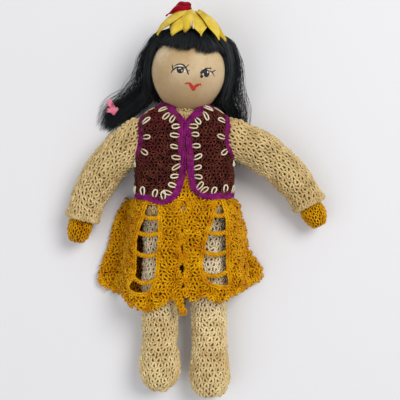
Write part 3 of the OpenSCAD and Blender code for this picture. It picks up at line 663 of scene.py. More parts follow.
SKIRT_TOP_Y = 3.5
FALL_ROWS = np.arange(SKIRT_TOP_Y, -43, -1.0)
# How far out the flared side lies: heights, then distances from the middle on each side.
FLARE = {-1: ([-38, -34, -30, -25, -16, -4, 3.5], [29, 31.5, 35, 34.6, 30.7, 28.2, 24.5]),
         1: ([-38, -31, -26, -20, -15, -7, 3.5], [27, 30, 32, 28.6, 25.8, 24.6, 21.8])}


def fall_table(side):
    """The skirt's cross sections, one for each row: flat over the thigh, a steep drop, and a foot on
    the table. Each is a rounded line, read off at every half millimetre along the cloth."""
    reach = np.arange(0, 60, 0.5)
    table, ends = [], []
    for y in FALL_ROWS:
        drop = np.interp(y, [-38, -25, -10, 3.5], [24.4, 23.6, 21.8, 19.4])
        far = np.interp(y, *FLARE[side])
        top = np.interp(y, [-38, -20, -10, -4, 3.5], [18.3, 18.7, 20.6, 22.3, 23.0])
        line = smooth_line([(0, top), (0.45 * drop, top - 0.3), (0.82 * drop, top - 2.8), (drop, 0.52 * top),
                            (drop + 0.25 * (far - drop), 3.4), (far, 1.5)], 0.25)
        run = np.concatenate([[0], np.cumsum(np.hypot(*np.diff(line, axis=0).T))])
        over = np.maximum(reach - run[-1], 0)
        out, high = (np.interp(reach, run, line[:, i]) for i in (0, 1))
        table.append(np.stack([out + over, high], -1))
        ends.append(run[-1])
    return np.array(table), np.array(ends)


FALL = {side: fall_table(side) for side in (-1, 1)}


def skirt_surface(side, lift=0.0):
    table = FALL[side][0]

    def surface(u, v):
        """The draped half front: u is the distance from the middle along the cloth and v the height.
        The cross sections are blended between rows, with shallow waves that grow towards the hem."""
        u, v = np.broadcast_arrays(np.asarray(u, float), np.asarray(v, float))
        row = np.clip(SKIRT_TOP_Y - v, 0, len(table) - 1.001)
        col = np.clip(u / 0.5, 0, table.shape[1] - 1.001)
        i, j = row.astype(int), col.astype(int)
        a, b = (row - i)[..., None], (col - j)[..., None]
        spot = ((table[i, j] * (1 - b) + table[i, j + 1] * b) * (1 - a)
                + (table[i + 1, j] * (1 - b) + table[i + 1, j + 1] * b) * a)
        wave = 0.45 * np.sin(u * 0.75 + 0.13 * v + side) * np.clip((SKIRT_TOP_Y - v) / 30, 0, 1)
        high = spot[..., 1] + wave * np.clip(spot[..., 1] / 12, 0, 1) + lift
        return np.stack([side * (spot[..., 0] + np.minimum(u, 0)), v, high], -1)
    return surface


def cloth_at(side, x, y):
    """The distance along the cloth at which a point of the given row lies x out from the middle."""
    row = FALL[side][0][int(np.clip(round(SKIRT_TOP_Y - y), 0, len(FALL_ROWS) - 1))]
    return float(np.interp(x, row[:, 0], np.arange(0, 60, 0.5)))


def cloth_line(side, points, step):
    """A rounded line on the cloth through points given by their distance out and their height."""
    return smooth_line([(x if x < 1 else cloth_at(side, x, y), y) for x, y in points], step)


SLIT_EDGE = {-1: [(1.8, 3.4), (2.3, 1.0), (0.7, -2.6), (0.6, -5.4), (2.1, -8), (0.7, -12), (2.1, -14.6),
                  (0.9, -19.5), (2.7, -23),
                  (1.0, -27.3), (1.9, -31), (1.1, -36), (0.6, -40.6)],
             1: [(1.2, 3.4), (1.7, 1.0), (-0.1, -2.6), (-0.2, -5.4), (0.5, -8), (-0.3, -12), (0.5, -15),
                 (-0.2, -19.5), (0.8, -23),
                 (0, -27.3), (0.9, -30.4), (-0.4, -32.5)]}
HEM_EDGE = {-1: [(0.6, -40.6), (2.4, -38), (4.8, -34.9), (8, -37), (11.4, -39.1), (17.5, -39.4),
                 (24.1, -35.2),
                 (28.4, -34), (34.6, -30.5), (35, -26), (31.5, -16.5), (28.6, -4.2), (24.8, 3)],
            1: [(-0.4, -32.5), (3.2, -35.8), (7.5, -33.9), (10.5, -35.6), (14.1, -36.4), (22.1, -32.7),
                (28.3, -30.4), (31.6, -26.4), (28.3, -20), (25.3, -15), (24.2, -6.6), (21.4, 3)]}
OPENING = {-1: [(9, 3), (9.2, -3.6), (9.2, -10), (10, -17.5), (10.6, -27), (13.5, -32.4), (18.5, -33.6),
                (22, -31),
                (19.6, -26), (19.2, -18), (18.6, -10.5), (16.6, -4.5), (13.9, 3)],
           1: [(12.2, 4), (10.4, -4), (8.6, -9.6), (7, -17.5), (6.2, -23), (9, -28.6), (14, -30.4),
               (17.6, -30),
               (17, -23), (17, -16), (16.8, -9), (16.4, -3), (14.4, 4)]}
RUNGS = {-1: [(-3.2, 9.2, 15.6, 1.1), (-9.3, 9.4, 18.2, 1.5), (-17.4, 9.8, 19, 1.7), (-27.2, 10.6, 20, 2.6)],
         1: [(-2.2, 10.6, 16.2, 1.1), (-8.6, 9, 16.8, 1.7), (-16.4, 7.4, 17, 2.2), (-24.4, 6.4, 17, 2.6)]}
PICOT = np.array([[-0.45, -0.35, 0.6], [-0.5, 0.0, 1.0], [-0.36, 0.34, 1.0], [0, 0.48, 0.9],
                  [0.36, 0.34, 1.0],
                  [0.5, 0.0, 1.0], [0.45, -0.35, 0.6]])
# A darker, more orange copy of the gold thread: painted shade for the back of the skirt, which lies under the
# front.
gold_painted_shade = yarn_material("gold thread, painted shade", (0.40, 0.12, 0.003), (0.74, 0.33, 0.008),
                          (0.15, 0.035, 0.002),
                          stain=(0.42, 0.11, 0.003), stain_amount=0.7, sheen=0.25, rough=0.5, shine=0.5)


LACE_YARN, PLY, PLY_PITCH = 0.37, 0.47, 3.6
for name, side in (("left", -1), ("right", 1)):
    surface, over = skirt_surface(side), skirt_surface(side, lift=0.35)
    slit, hem = cloth_line(side, SLIT_EDGE[side], 1.25), cloth_line(side, HEM_EDGE[side], 1.3)
    outline = np.concatenate([slit, hem[1:]])
    column = cloth_line(side, OPENING[side] + OPENING[side][:1], 1.25)[:-1]
    x, y = scattered(outline.min(0), outline.max(0), 1.6, 1.45, 101 + side)
    keep = inside(outline, x, y) & ~inside(column, x, y)
    parts = [stitch_loops(surface, x[keep], y[keep], 2.0, 1.9, LACE_YARN, seed=103 + side, side=side,
                          spin=0.8,
                          rise=(0.3, 2.0)),
             line_loops(over, column, 0.36, 105 + side, long=2.2, wide=2.2, side=side, loop=CHAIN, slant=0.3),
             line_loops(over, slit, 0.34, 107 + side, long=2.0, wide=1.8, side=side, shift=0.3, slant=0.4),
             line_loops(surface, hem[::2], 0.4, 109 + side, long=2.6, wide=2.7, side=side, shift=0.2,
                        loop=PICOT, slant=0)]
    # Each crossing chain is three plies twisted round one another, sagging between the opening's sides.
    for row, (y0, x0, x1, sag) in enumerate(RUNGS[side]):
        t = np.linspace(0, 1, 60)
        at = cloth_at(side, x0, y0) - 0.7 + (cloth_at(side, x1, y0) - cloth_at(side, x0, y0) + 1.4) * t
        arc = np.stack([at, y0 + 0.7 - sag * np.sin(np.pi * t) ** 0.8], -1)
        for k in range(3):
            twist = 2 * np.pi * (arc[:, 0] / PLY_PITCH + k / 3)
            spot = over(arc[:, 0], arc[:, 1] + 0.5 * np.cos(twist))
            lift = normals(over, arc[:, 0], arc[:, 1]) * side
            spot = spot + lift * (0.1 + 0.5 * np.sin(twist))[:, None]
            parts.append(tubes(spot[None], PLY, lift[None], sides=5, tone=0.25 + 0.25 * k + 0.05 * row))
    front = together("skirt_front_%s_lace" % name, *parts)
    wear(front, gold, None)
    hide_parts("skirt_front_" + name)
    cloth = backing("skirt_front_%s_cloth" % name, surface, outline, [column], -0.35 * side, gold,
                    None, "skirt_front_" + name)
    for piece in (front, cloth):
        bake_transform(piece)

surface, band_half = body_surface(1.0)
x, y = scattered((-band_half, -3.6), (band_half, 13.0), 1.6, 1.5, 121)
keep = (np.abs(x) < band_half - 0.6) & ((np.abs(x) < 6) | (y < 7)) & (y > 2)
# The waistband's ground under its loops is coloured with the painted shade of the depths.
girth = np.linspace(-band_half, band_half, 60)[:-1]
u, v = np.meshgrid(girth, np.linspace(1.4, 7.6, 8))
loops = stitch_loops(surface, x[keep], y[keep], 1.9, 1.8, 0.34, seed=123, spin=0.8, rise=(0.3, 1.8))
band = together("skirt_waistband_crochet", loops,
                sheet_grid(surface(u, v) - 0.3 * normals(surface, u, v), closed_u=True))
wear(band, gold, "torso")
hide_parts("skirt_waistband")


def flat_back(u, v):
    """The back of the skirt, flat on the table with the slightest waves: u is across, v up."""
    return np.stack([u + 0 * v, v + 0 * u, 0.72 + 0.12 * np.sin(0.7 * u) * np.cos(0.2 * v)], -1)


back_line = 0.985 * np.array([(-x, y) for x, y in HEM_EDGE[-1][::-1]] + HEM_EDGE[1])
back_line = smooth_line(back_line, 1.6)
x, y = scattered(back_line.min(0), back_line.max(0), 1.9, 1.8, 131)
keep = inside(back_line, x, y)
back = together("skirt_back_lace",
                stitch_loops(flat_back, x[keep], y[keep], 2.0, 2.0, 0.24, seed=133, spin=0.6),
                line_loops(flat_back, back_line[::2], 0.28, 135, long=3.0, wide=2.6, loop=PICOT, slant=0))
wear(back, gold_painted_shade, "torso")
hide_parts("skirt_back")
backing("skirt_back_cloth", flat_back, back_line, [], -0.3, gold_painted_shade, "torso",
        "skirt_back")

# Head: a ball on a neck peg, drawn out a little at the chin and painted an aged cream that has gone
# blotchy, with painted shade that darkens and browns it towards the chin. Eyes, lashes and mouth are
# brushed on by hand as thin strokes of black, white and red paint; a few white strokes on the irises
# are painted highlights.

BALL, CAP, CHIN = 14.8, 17.8, 0.12


def paint_material(name, base, light, dark, rough, patch_size, bump_size, drift=None):
    """Hand-laid paint: soft blotches between three tones, finer grain over them, and a low relief.
    drift is another colour that comes in along the object, between two heights, by the given amount."""
    mat = bpy.data.materials.new(name)
    mat.use_nodes = True
    tree = mat.node_tree
    shader, place = tree.nodes["Principled BSDF"], tree.nodes.new("ShaderNodeTexCoord")
    shader.inputs["Roughness"].default_value = rough
    colour = None
    for scale, low, high, other in ((patch_size, 0.42, 0.68, light), (patch_size * 0.6, 0.5, 0.75, dark),
                                    (patch_size * 6, 0.5, 0.8, dark)):
        noise, span = tree.nodes.new("ShaderNodeTexNoise"), tree.nodes.new("ShaderNodeMapRange")
        mix = tree.nodes.new("ShaderNodeMix")
        mix.data_type = "RGBA"
        noise.inputs["Scale"].default_value, noise.inputs["Detail"].default_value = scale, 4
        span.inputs["From Min"].default_value, span.inputs["From Max"].default_value = low, high
        span.inputs["To Max"].default_value = 0.75 if scale < patch_size * 2 else 0.3
        tree.links.new(place.outputs["Object"], noise.inputs["Vector"])
        tree.links.new(noise.outputs["Fac"], span.inputs["Value"])
        tree.links.new(span.outputs["Result"], mix.inputs[0])
        if colour:
            tree.links.new(colour, mix.inputs[6])
        else:
            mix.inputs[6].default_value = (*base, 1)
        mix.inputs[7].default_value = (*other, 1)
        colour = mix.outputs[2]
    if drift:
        other, start, end, amount = drift
        up, span, mix = (tree.nodes.new("ShaderNode" + kind) for kind in ("SeparateXYZ", "MapRange", "Mix"))
        mix.data_type, mix.inputs[7].default_value = "RGBA", (*other, 1)
        for socket, value in (("From Min", start), ("From Max", end), ("To Max", amount)):
            span.inputs[socket].default_value = value
        tree.links.new(place.outputs["Object"], up.inputs[0])
        tree.links.new(up.outputs[1], span.inputs["Value"])
        tree.links.new(span.outputs["Result"], mix.inputs[0])
        tree.links.new(colour, mix.inputs[6])
        colour = mix.outputs[2]
    tree.links.new(colour, shader.inputs["Base Color"])
    grain, bump = tree.nodes.new("ShaderNodeTexNoise"), tree.nodes.new("ShaderNodeBump")
    grain.inputs["Scale"].default_value, grain.inputs["Detail"].default_value = 900, 5
    bump.inputs["Strength"].default_value, bump.inputs["Distance"].default_value = 0.5, bump_size
    tree.links.new(place.outputs["Object"], grain.inputs["Vector"])
    tree.links.new(grain.outputs["Fac"], bump.inputs["Height"])
    tree.links.new(bump.outputs["Normal"], shader.inputs["Normal"])
    return mat


def head_ray(turn, tilt, rise=None):
    """The way from the head's middle at tilt from the crown and turn about the neck's line from the
    face: a unit vector, unless another rise along the neck's line is given."""
    rise = np.cos(tilt) if rise is None else rise
    out = np.cos(turn)[..., None] * head_front + np.sin(turn)[..., None] * head_side
    return np.sin(tilt)[..., None] * out + rise[..., None] * neck_way


def ball_surface(radius):
    def surface(u, v):
        """A ball about the head's middle: u is the turn about the neck's line from the face, v the
        angle from the crown."""
        u, v = np.broadcast_arrays(np.asarray(u, float), np.asarray(v, float))
        return head_at + radius * head_ray(u, v, np.cos(v) * chin(np.cos(v)))
    return surface


def chin(rise):
    """How much the ball is drawn out below its middle, for the height rise on a ball of radius 1."""
    return 1 + CHIN * np.maximum(0, -rise) ** 1.5


def face_spot(x, y, lift=0.03):
    """The point on the ball that is x and y from its middle as seen from above."""
    x, y = np.asarray(x, float), np.asarray(y, float)
    y = y / chin(y / BALL)
    way = np.stack([x, y, np.sqrt(np.maximum((BALL + lift) ** 2 - x ** 2 - y ** 2, 0))], -1)
    rise = way @ neck_way
    return head_at + way + (rise * (chin(rise / BALL) - 1))[..., None] * neck_way


# Paint spreads under the brush, so each stroke is laid wider than its drawn width by this share.
BOLD = 1.55


def brush(points, width, ends=(0.35, 0.35), swell=0.0, lift=0.03):
    """One brush stroke: a rounded line on the ball, flattened, narrower at its ends by their shares."""
    line = smooth_line(points, 0.12)
    t = np.linspace(0, 1, len(line))
    size = np.interp(t, [0, 0.3, 0.7, 1], [ends[0], 1, 1, ends[1]]) * (1 + swell * np.sin(np.pi * t))
    path = face_spot(line[:, 0], line[:, 1], lift)
    out = path - head_at
    out /= np.linalg.norm(out, axis=1, keepdims=True)
    return tubes(path[None], BOLD * width / 2, out[None], sides=8, taper=size, flat=0.12)


def dab(x, y, wide, high, lift=0.03):
    """A round dab of paint: a stroke whose width follows half an ellipse."""
    t = np.linspace(-1, 1, 17)
    path = face_spot(x + t * 1.12 * wide / 2, y + 0 * t, lift)
    out = (path - head_at) / BALL
    round_off = np.sqrt(np.maximum(1 - t ** 2, 0.0025))
    return tubes(path[None], 1.15 * high / 2, out[None], sides=8, taper=round_off, flat=0.1)


tilts = np.concatenate([[0.004], np.linspace(0.05, np.pi - 0.05, 60), [np.pi - 0.004]])
u, v = np.meshgrid(np.arange(96) / 96 * 2 * np.pi, tilts)
head = together("head_ball_painted", sheet_grid(ball_surface(BALL)(u, v)[::-1], tone=0, closed_u=True))
# The last colour darkens and browns the paint towards the chin, as painted shade.
skin_paint = paint_material("aged cream paint, painted shade below", (0.60, 0.44, 0.235), (0.74, 0.60, 0.40), (0.38, 0.23, 0.09),
                            0.75, 90, 0.0002,
                            drift=((0.34, 0.20, 0.085), 0.060, 0.040, 0.75))
wear(head, skin_paint, "head")
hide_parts("head_ball")

black_strokes = [
    brush([(-5.4, -0.6), (-4.05, 0.2), (-2.1, 0.05), (-1.0, -0.9), (-0.3, -2.4), (0.1, -3.6)], 0.34,
          ends=(0.3, 0.9)),
    dab(0.08, -3.4, 0.42, 0.62),
    brush([(-6.5, -2.8), (-5.9, -1.95), (-4.44, -0.98), (-2.75, -0.9), (-1.1, -1.25)], 0.34, ends=(0.7, 0.6)),
    brush([(-5.95, 0.25), (-5.9, -0.6), (-5.7, -1.7)], 0.32, ends=(0.3, 0.8)),
    brush([(-0.95, -0.95), (-0.03, -0.28), (0.5, 0.25)], 0.2, ends=(1, 0.15)),
    brush([(-0.4, -2.4), (0.23, -2.26), (0.8, -2.05)], 0.17, ends=(1, 0.2)),
    dab(-2.95, -1.95, 2.5, 2.1),
    brush([(4.7, -3.1), (5.3, -2.2), (6.1, -1.7), (7.0, -1.25), (7.9, -1.05), (8.7, -1.2)], 0.42,
          ends=(1.2, 0.4)),
    brush([(4.8, -3.1), (5.3, -2.6), (6.1, -2.1)], 0.75, ends=(0.6, 0.8)),
    brush([(6.5, -1.8), (8.15, -1.9), (9.4, -2.75), (10.05, -3.9)], 0.26, ends=(1, 0.3)),
    brush([(9.0, -2.3), (9.7, -1.85), (10.5, -1.25)], 0.28, ends=(1, 0.3)),
    brush([(6.4, -0.9), (6.45, -1.7)], 0.24), brush([(8.5, -0.4), (8.7, -1.25)], 0.22),
    brush([(4.8, -3.1), (4.95, -4.0)], 0.3), dab(5.1, -4.25, 1.05, 1.05),
    dab(6.95, -3.0, 1.95, 2.4),
]
# White paint for the whites of the eyes; the strokes lifted onto the irises are painted highlights.
whites_and_highlights = [
                  brush([(-3.9, -0.35), (-3.0, -0.22), (-2.1, -0.5)], 0.5, lift=0.0),
                  brush([(-5.1, -0.85), (-5.4, -1.3)], 0.35, lift=0.0),
                  brush([(-1.2, -1.9), (-1.45, -2.9)], 0.5, lift=0.0),
                  brush([(-4.9, -2.0), (-4.4, -2.7)], 0.4, lift=0.0),
                  # Painted highlights on the left iris.
                  brush([(-3.7, -1.6), (-3.2, -1.3), (-2.6, -1.4)], 0.26, lift=0.17),
                  brush([(-2.35, -1.9), (-2.3, -2.5)], 0.3, lift=0.17),
                  # A painted highlight on the right iris.
                  brush([(7.38, -2.1), (7.4, -2.95)], 0.36, lift=0.19),
                  brush([(7.2, -1.45), (8.5, -1.6)], 0.28, lift=0.06),
                  brush([(8.4, -2.6), (8.7, -3.3)], 0.5, lift=0.0),
                  brush([(5.75, -3.0), (5.7, -3.8)], 0.3, lift=0.0), dab(5.7, -1.15, 0.5, 0.5, lift=0.0),
]
mouth = [
                 brush([(-1.4, -7.15), (-0.4, -6.9), (0.8, -6.9)], 0.42, ends=(0.15, 1.2)),
                 brush([(0.6, -6.95), (1.2, -7.9), (1.7, -8.7), (2.0, -9.1)], 0.8, ends=(0.8, 0.9)),
                 brush([(2.0, -8.9), (2.8, -8.0), (3.6, -7.5), (4.6, -7.15)], 0.72, ends=(1, 0.5)),
                 brush([(4.6, -6.75), (4.76, -7.4), (5.0, -8.0)], 0.24, ends=(0.6, 0.3)),
                 dab(2.0, -9.0, 1.5, 1.3),
]
for name, strokes, paint in (
        ("face_black_strokes", black_strokes,
         ("black brushed paint", (0.008, 0.007, 0.007), (0.016, 0.014, 0.013),
                                               (0.004, 0.004, 0.004), 0.7, 300, 0.00003)),
        ("face_white_dabs_and_highlights", whites_and_highlights, ("white brushed paint", (0.72, 0.66, 0.56), (0.82, 0.78, 0.70),
                                     (0.6, 0.52, 0.42), 0.45, 300, 0.00003)),
        ("face_mouth", mouth, ("red brushed paint", (0.50, 0.018, 0.008), (0.62, 0.04, 0.02),
                               (0.33, 0.008, 0.005), 0.4, 400, 0.00003))):
    wear(together(name, *strokes), paint_material(*paint), "head")


# Hair: a wig of fine black fibre glued to the ball, combed from the crown: a cut fringe in two lobes,
# and long sides that fall behind the shoulders in loose locks.

def fibre_material(name, dark, light):
    """Combed fibre: a soft sheen, with long fine variations of tone along the strands."""
    mat = bpy.data.materials.new(name)
    mat.use_nodes = True
    tree = mat.node_tree
    shader = tree.nodes["Principled BSDF"]
    shader.inputs["Roughness"].default_value = 0.42
    shader.inputs["Specular IOR Level"].default_value = 0.35
    tone, noise = tree.nodes.new("ShaderNodeAttribute"), tree.nodes.new("ShaderNodeTexNoise")
    place, mix, share = (tree.nodes.new("ShaderNode" + kind) for kind in ("TexCoord", "Mix", "Math"))
    tone.attribute_name, noise.inputs["Scale"].default_value = "tone", 420
    mix.data_type, share.operation = "RGBA", "MULTIPLY"
    mix.inputs[6].default_value, mix.inputs[7].default_value = (*dark, 1), (*light, 1)
    tree.links.new(place.outputs["Object"], noise.inputs["Vector"])
    tree.links.new(tone.outputs["Fac"], share.inputs[0])
    tree.links.new(noise.outputs["Fac"], share.inputs[1])
    tree.links.new(share.outputs[0], mix.inputs[0])
    tree.links.new(mix.outputs[2], shader.inputs["Base Color"])
    return mat


UP = np.array([0, 0, 1.0])
hair_fibre = fibre_material("black fibre", (0.004, 0.005, 0.006), (0.03, 0.04, 0.045))


def local(points):
    """Points given across, up and out from the head's middle, in the head's own directions."""
    points = np.asarray(points, float)
    return head_at + points[..., :1] * head_side + points[..., 1:2] * neck_way + points[..., 2:] * head_front


def strands(guides, count, rng, spread, radius, steps=14, sides=3, frizz=0.12, waves=(3, 9), ragged=0.0):
    """Fibres between guide lines: each follows a random mix of two neighbouring guides (g, k, 3),
    shifted by spread (k,), waved a little by frizz, and cut short by up to the share ragged."""
    guides = np.asarray(guides, float)
    g, k, _ = guides.shape
    t = np.linspace(0, k - 1, steps)
    low = np.minimum(t.astype(int), k - 2)
    fine = guides[:, low] * (1 - (t - low))[None, :, None] + guides[:, low + 1] * (t - low)[None, :, None]
    smooth = fine.copy()
    smooth[:, 1:-1] = (fine[:, :-2] + 2 * fine[:, 1:-1] + fine[:, 2:]) / 4
    pick = rng.uniform(0, g - 1.001, count)
    a, b = pick.astype(int), (pick % 1)[:, None, None]
    wide = np.interp(t, np.arange(k), spread)
    shift = rng.normal(0, 1, (count, 1, 3)) * wide[None, :, None]
    run = np.linspace(0, 1, steps)
    wave = np.sin(run[None, :, None] * rng.uniform(*waves, (count, 1, 3)) + rng.uniform(0, 6, (count, 1, 3)))
    paths = smooth[a] * (1 - b) + smooth[a + 1] * b + shift + wave * frizz * run[None, :, None]
    if ragged:
        place = run[None] * (1 - ragged * rng.uniform(0, 1, (count, 1)) ** 2) * (steps - 1)
        before, one = np.minimum(place.astype(int), steps - 2), np.arange(count)[:, None]
        part = (place - before)[..., None]
        paths = paths[one, before] * (1 - part) + paths[one, before + 1] * part
    paths[..., 2] = np.maximum(paths[..., 2], 0.25)
    taper = np.interp(run, [0, 0.85, 1], [1, 1, 0.3])
    return tubes(paths, radius, UP, sides=sides, tone=rng.uniform(0, 1, count), taper=taper)


rng = np.random.default_rng(7)
turns = np.radians(np.linspace(90, 270, 13))
cap = ball_surface(BALL + 2.3)
under = ball_surface(BALL + 0.25)
u, v = np.meshgrid(np.radians(np.linspace(74, 286, 60)), np.radians(np.linspace(2, 132, 30)))
scalp = sheet_grid(under(u, v)[:, ::-1], tone=0.1)
u, v = np.meshgrid(np.radians(np.linspace(-76, 76, 30)), np.radians(np.linspace(2, 46, 12)))
brow = sheet_grid(under(u, v)[:, ::-1], tone=0.1)
back_guides = np.stack([cap(turn, np.radians(np.linspace(4, 134, 8))) for turn in turns])
fringe_ends = [(-13.2, 7.4), (-11.2, 9.2), (-8, 8.2), (-4, 7.3), (-0.2, 7.6), (1.6, 9.6), (3.4, 7.2),
               (7, 6.9), (10, 8.0), (12.4, 8.6), (13.8, 6.4)]
fringe_guides = []
for x, y in fringe_ends:
    t = np.linspace(0, 1, 8)
    gx, gy = x * (0.12 + 0.88 * t ** 0.8), 17 - (17 - y) * t ** 1.35
    gz = np.sqrt(np.maximum((BALL + 2.4 - 1.2 * t ** 2) ** 2 - gx ** 2 - gy ** 2, 1))
    fringe_guides.append(local(np.stack([gx, gy, gz], -1)))
wig = together("hair_wig", scalp, brow,
               strands(back_guides, 1300, rng, [0.3, .5, .5, .5, .5, .5, .6, .8], 0.13),
               strands(fringe_guides, 900, rng, [0.15, .25, .3, .3, .3, .32, .35, .38], 0.11, frizz=0.2))
wear(wig, hair_fibre, "head")
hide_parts("hair_cap", "hair_fringe")

# Each side falls from the crown past the cheek and ends in a lock beside the shoulder.
LOCK = {-1: [[(-2, 17.2, 2), (-11.4, 12.8, 4.5), (-14.9, 4.5, 4.6), (-15.0, -4, 3.2), (-13.4, -10.5, 0),
              (-17, -14.5, -9), (-24, -20.5, -14.2), (-31.5, -27, -15.6)],
             [(-3, 17.2, -2), (-13.6, 12.4, -1), (-17.3, 3.5, -2.5), (-17.2, -5.5, -5), (-18.2, -8.5, -9),
              (-22.4, -12.6, -13.6), (-29.6, -17.2, -15.2), (-33.6, -25, -16.2)]],
        1: [[(2, 17.2, 2), (12, 12.6, 4.5), (15.2, 4.2, 4.6), (15.0, -4, 3.2), (13.2, -10.5, 0),
             (15.2, -14, -8), (18, -21, -14.4), (18.5, -35, -15.8)],
            [(3, 17.2, -2), (15, 12.4, -1), (18.2, 3.5, -2.5), (17.4, -5.5, -5), (17.9, -10.5, -9),
             (19.6, -15, -13.8), (21.6, -24, -15.8), (22, -36, -16.6)]]}
for name, side in (("left", -1), ("right", 1)):
    guides = [local(line) for line in LOCK[side]]
    guides = np.array([guides[0], guides[0] * 0.5 + guides[1] * 0.5, guides[1]])
    thick = strands(guides, 900, rng, [.3, .45, .5, .5, .5, .8, .9, 1.2], 0.12, steps=22, frizz=0.6,
                    waves=(4, 14), ragged=0.3)
    outer = guides[2:] + np.array([side * 0.4, 0, 0])
    away = np.array([0, 0.8, 1.5, 3.0, 4.2, 4.0, 2.4, 1.5])[None, :, None]
    flown = np.concatenate([outer, outer + away * [side, 0, 0.5]])
    loose = strands(flown, 150, rng, [.3, .5, .9, 1.3, 1.5, 1.5, 1.3, 1.2], 0.06, steps=36, frizz=0.8,
                    waves=(8, 26), ragged=0.25)
    lock = together("hair_lock_" + name + "_fibre", thick, loose)
    wear(lock, hair_fibre, None)
    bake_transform(lock)
    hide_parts("hair_lock_" + name)

across = np.linspace(-14.5, 16.5, 7)
t = np.linspace(0, 1, 8)
nape = np.stack([np.stack([x * t + 1.7 * (1 - t), 49.5 - 22 * t, 3.2 - 2.6 * np.minimum(1, 2.4 * t)], -1)
                 for x in across])
nape[:, 0, 0] = np.linspace(-9, 12, 7)
behind = together("hair_behind",
                  strands(nape, 700, rng, [.3, .3, .2, .12, .12, .12, .12, .3], 0.11, frizz=0.1))
wear(behind, hair_fibre, None)
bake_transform(behind)
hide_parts("hair_back")


# Ribbon: a scrap of pink satin knotted on the left lock, its two tails cut to a fork.

def satin_material(name, base, light, dark, shade_scale=260):
    """Stiffened satin: a soft sheen, tone drifting along the cloth, and a fine weave in relief."""
    mat = paint_material(name, base, light, dark, 0.5, shade_scale, 0.00006)
    shader = mat.node_tree.nodes["Principled BSDF"]
    shader.inputs["Sheen Weight"].default_value = 0.08
    shader.inputs["Sheen Tint"].default_value = (*light, 1)
    shader.inputs["Specular Tint"].default_value = (*light, 1)
    return mat


def thin_cloth(points, thick):
    """A closed thin piece from a grid of points: the face, a copy pushed in by thick, and its edge."""
    r, c, _ = points.shape
    out = np.cross(np.gradient(points, axis=1), np.gradient(points, axis=0))
    out /= np.linalg.norm(out, axis=-1, keepdims=True) + 1e-9
    rim = np.concatenate([points, (points - thick * out)[:, ::-1]], axis=1)
    part = sheet_grid(rim, tone=0, closed_u=True)
    ends = []
    for row, flip in ((0, False), (r - 1, True)):
        k = np.arange(c - 1)
        first, last = row * 2 * c + k, row * 2 * c + 2 * c - 1 - k
        quad = np.stack([first, first + 1, last - 1, last], -1)
        ends.append(quad[:, ::-1] if not flip else quad)
    quads = np.concatenate([part[1]] + ends)
    return part[0], quads, part[2], np.concatenate([part[3], np.zeros((2 * (c - 1), 4, 2))]), part[4]


def tail(root, way, long, wide, rise, twist):
    """A ribbon tail: a strip along way that rises and twists, with a forked end."""
    t, w = np.meshgrid(np.linspace(0, 1, 14), np.linspace(-1, 1, 7), indexing="ij")
    way = np.asarray(way, float) / np.linalg.norm(way)
    side = np.array([-way[1], way[0], 0])
    run = long * t - (1 - np.abs(w)) * 1.0 * t ** 6
    tilt = twist * t
    half = wide / 2 * (0.45 + 0.55 * np.minimum(1, 3 * t))
    across = np.cos(tilt)[..., None] * side + np.sin(tilt)[..., None] * UP
    lift = rise * np.sin(np.pi * t * 0.8)
    return thin_cloth(root + run[..., None] * way + (w * half)[..., None] * across + lift[..., None] * UP,
                      0.22)


knot_at = np.array([-28.6, 40.0, 4.2])
knot_line = knot_at + np.array([[-0.9, -1.2, -0.4], [-0.3, -0.4, 0.1], [0.3, 0.5, 0.1], [0.9, 1.3, -0.5]])
knot = tubes(knot_line[None], 0.85, UP, sides=8, flat=0.7)
bow = together("ribbon_tied", knot, tail(knot_at, (-0.5, 0.8, 0), 5.6, 2.2, 0.9, 0.5),
               tail(knot_at, (-0.9, 0.1, 0), 3.6, 1.8, 0.7, -0.6))
wear(bow, satin_material("pink satin", (0.80, 0.20, 0.30), (0.92, 0.42, 0.50), (0.6, 0.08, 0.16)),
     "torso")
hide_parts("ribbon")


# Headdress: an artificial flower sewn to the crown, worn as a cap: twelve yellow satin petals in two
# rings, three short cream stamens, and one dark red petal of another flower at its left.

DOME = 3.4
yellow = satin_material("yellow satin", (0.66, 0.46, 0.035), (0.80, 0.62, 0.12), (0.36, 0.22, 0.006))


def petal(turn, start, long, wide, lift, curl, crease):
    """A petal on the crown: it runs out from the angle start over a dome on the hair, stands off it by
    lift with a bow along its length, and its edges curl; its outline is a leaf shape with a point."""
    t, w = np.meshgrid(np.linspace(0, 1, 18), np.linspace(-1, 1, 9), indexing="ij")
    leaf = 0.16 + 0.84 * np.sin(np.pi * t ** 0.85 * 0.93) ** 0.8
    half = wide / 2 * leaf * np.clip((1 - t) * 3.2, 0.02, 1) ** 0.85
    base = CAP + 0.5 + DOME * (1 - t) ** 1.3 + lift * np.sin(np.pi * np.minimum(1, 0.25 + 0.75 * t))
    base = base + curl * w ** 2 * t + crease * (1 - np.abs(w)) + 0.2 * np.sin(7 * w + 5 * t + 9 * turn)
    tip = start + long / CAP * t
    off = w * half / base
    flat_turn = turn + off / np.maximum(np.sin(tip), 0.12)
    return thin_cloth(head_at + base[..., None] * head_ray(flat_turn, tip), 0.25)


OUTER = [(17, 13.0, 6.8), (80, 13.4, 7.6), (132, 12.5, 7.5), (192, 12.5, 7.5), (264, 13.6, 8.0),
         (326, 12.4, 8.4)]
INNER = [(48, 13.4, 7.2), (105, 11.5, 7.0), (160, 11, 7.5), (222, 11, 7.5), (298, 13.2, 9.6), (348, 9.4, 7.2)]
for ring, (label, petals, rise) in enumerate((("outer", OUTER, 0.4), ("inner", INNER, 1.4))):
    for k, (turn_to, long, wide) in enumerate(petals):
        part = petal(np.radians(turn_to), np.radians(5 + 2 * ring), long, wide, rise, 0.8 * (-1) ** k, 0.85)
        leaf = together("petal_%s_%d_satin" % (label, k + 1), part)
        wear(leaf, yellow, "head")
        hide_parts("petal_%s_%d" % (label, k + 1))

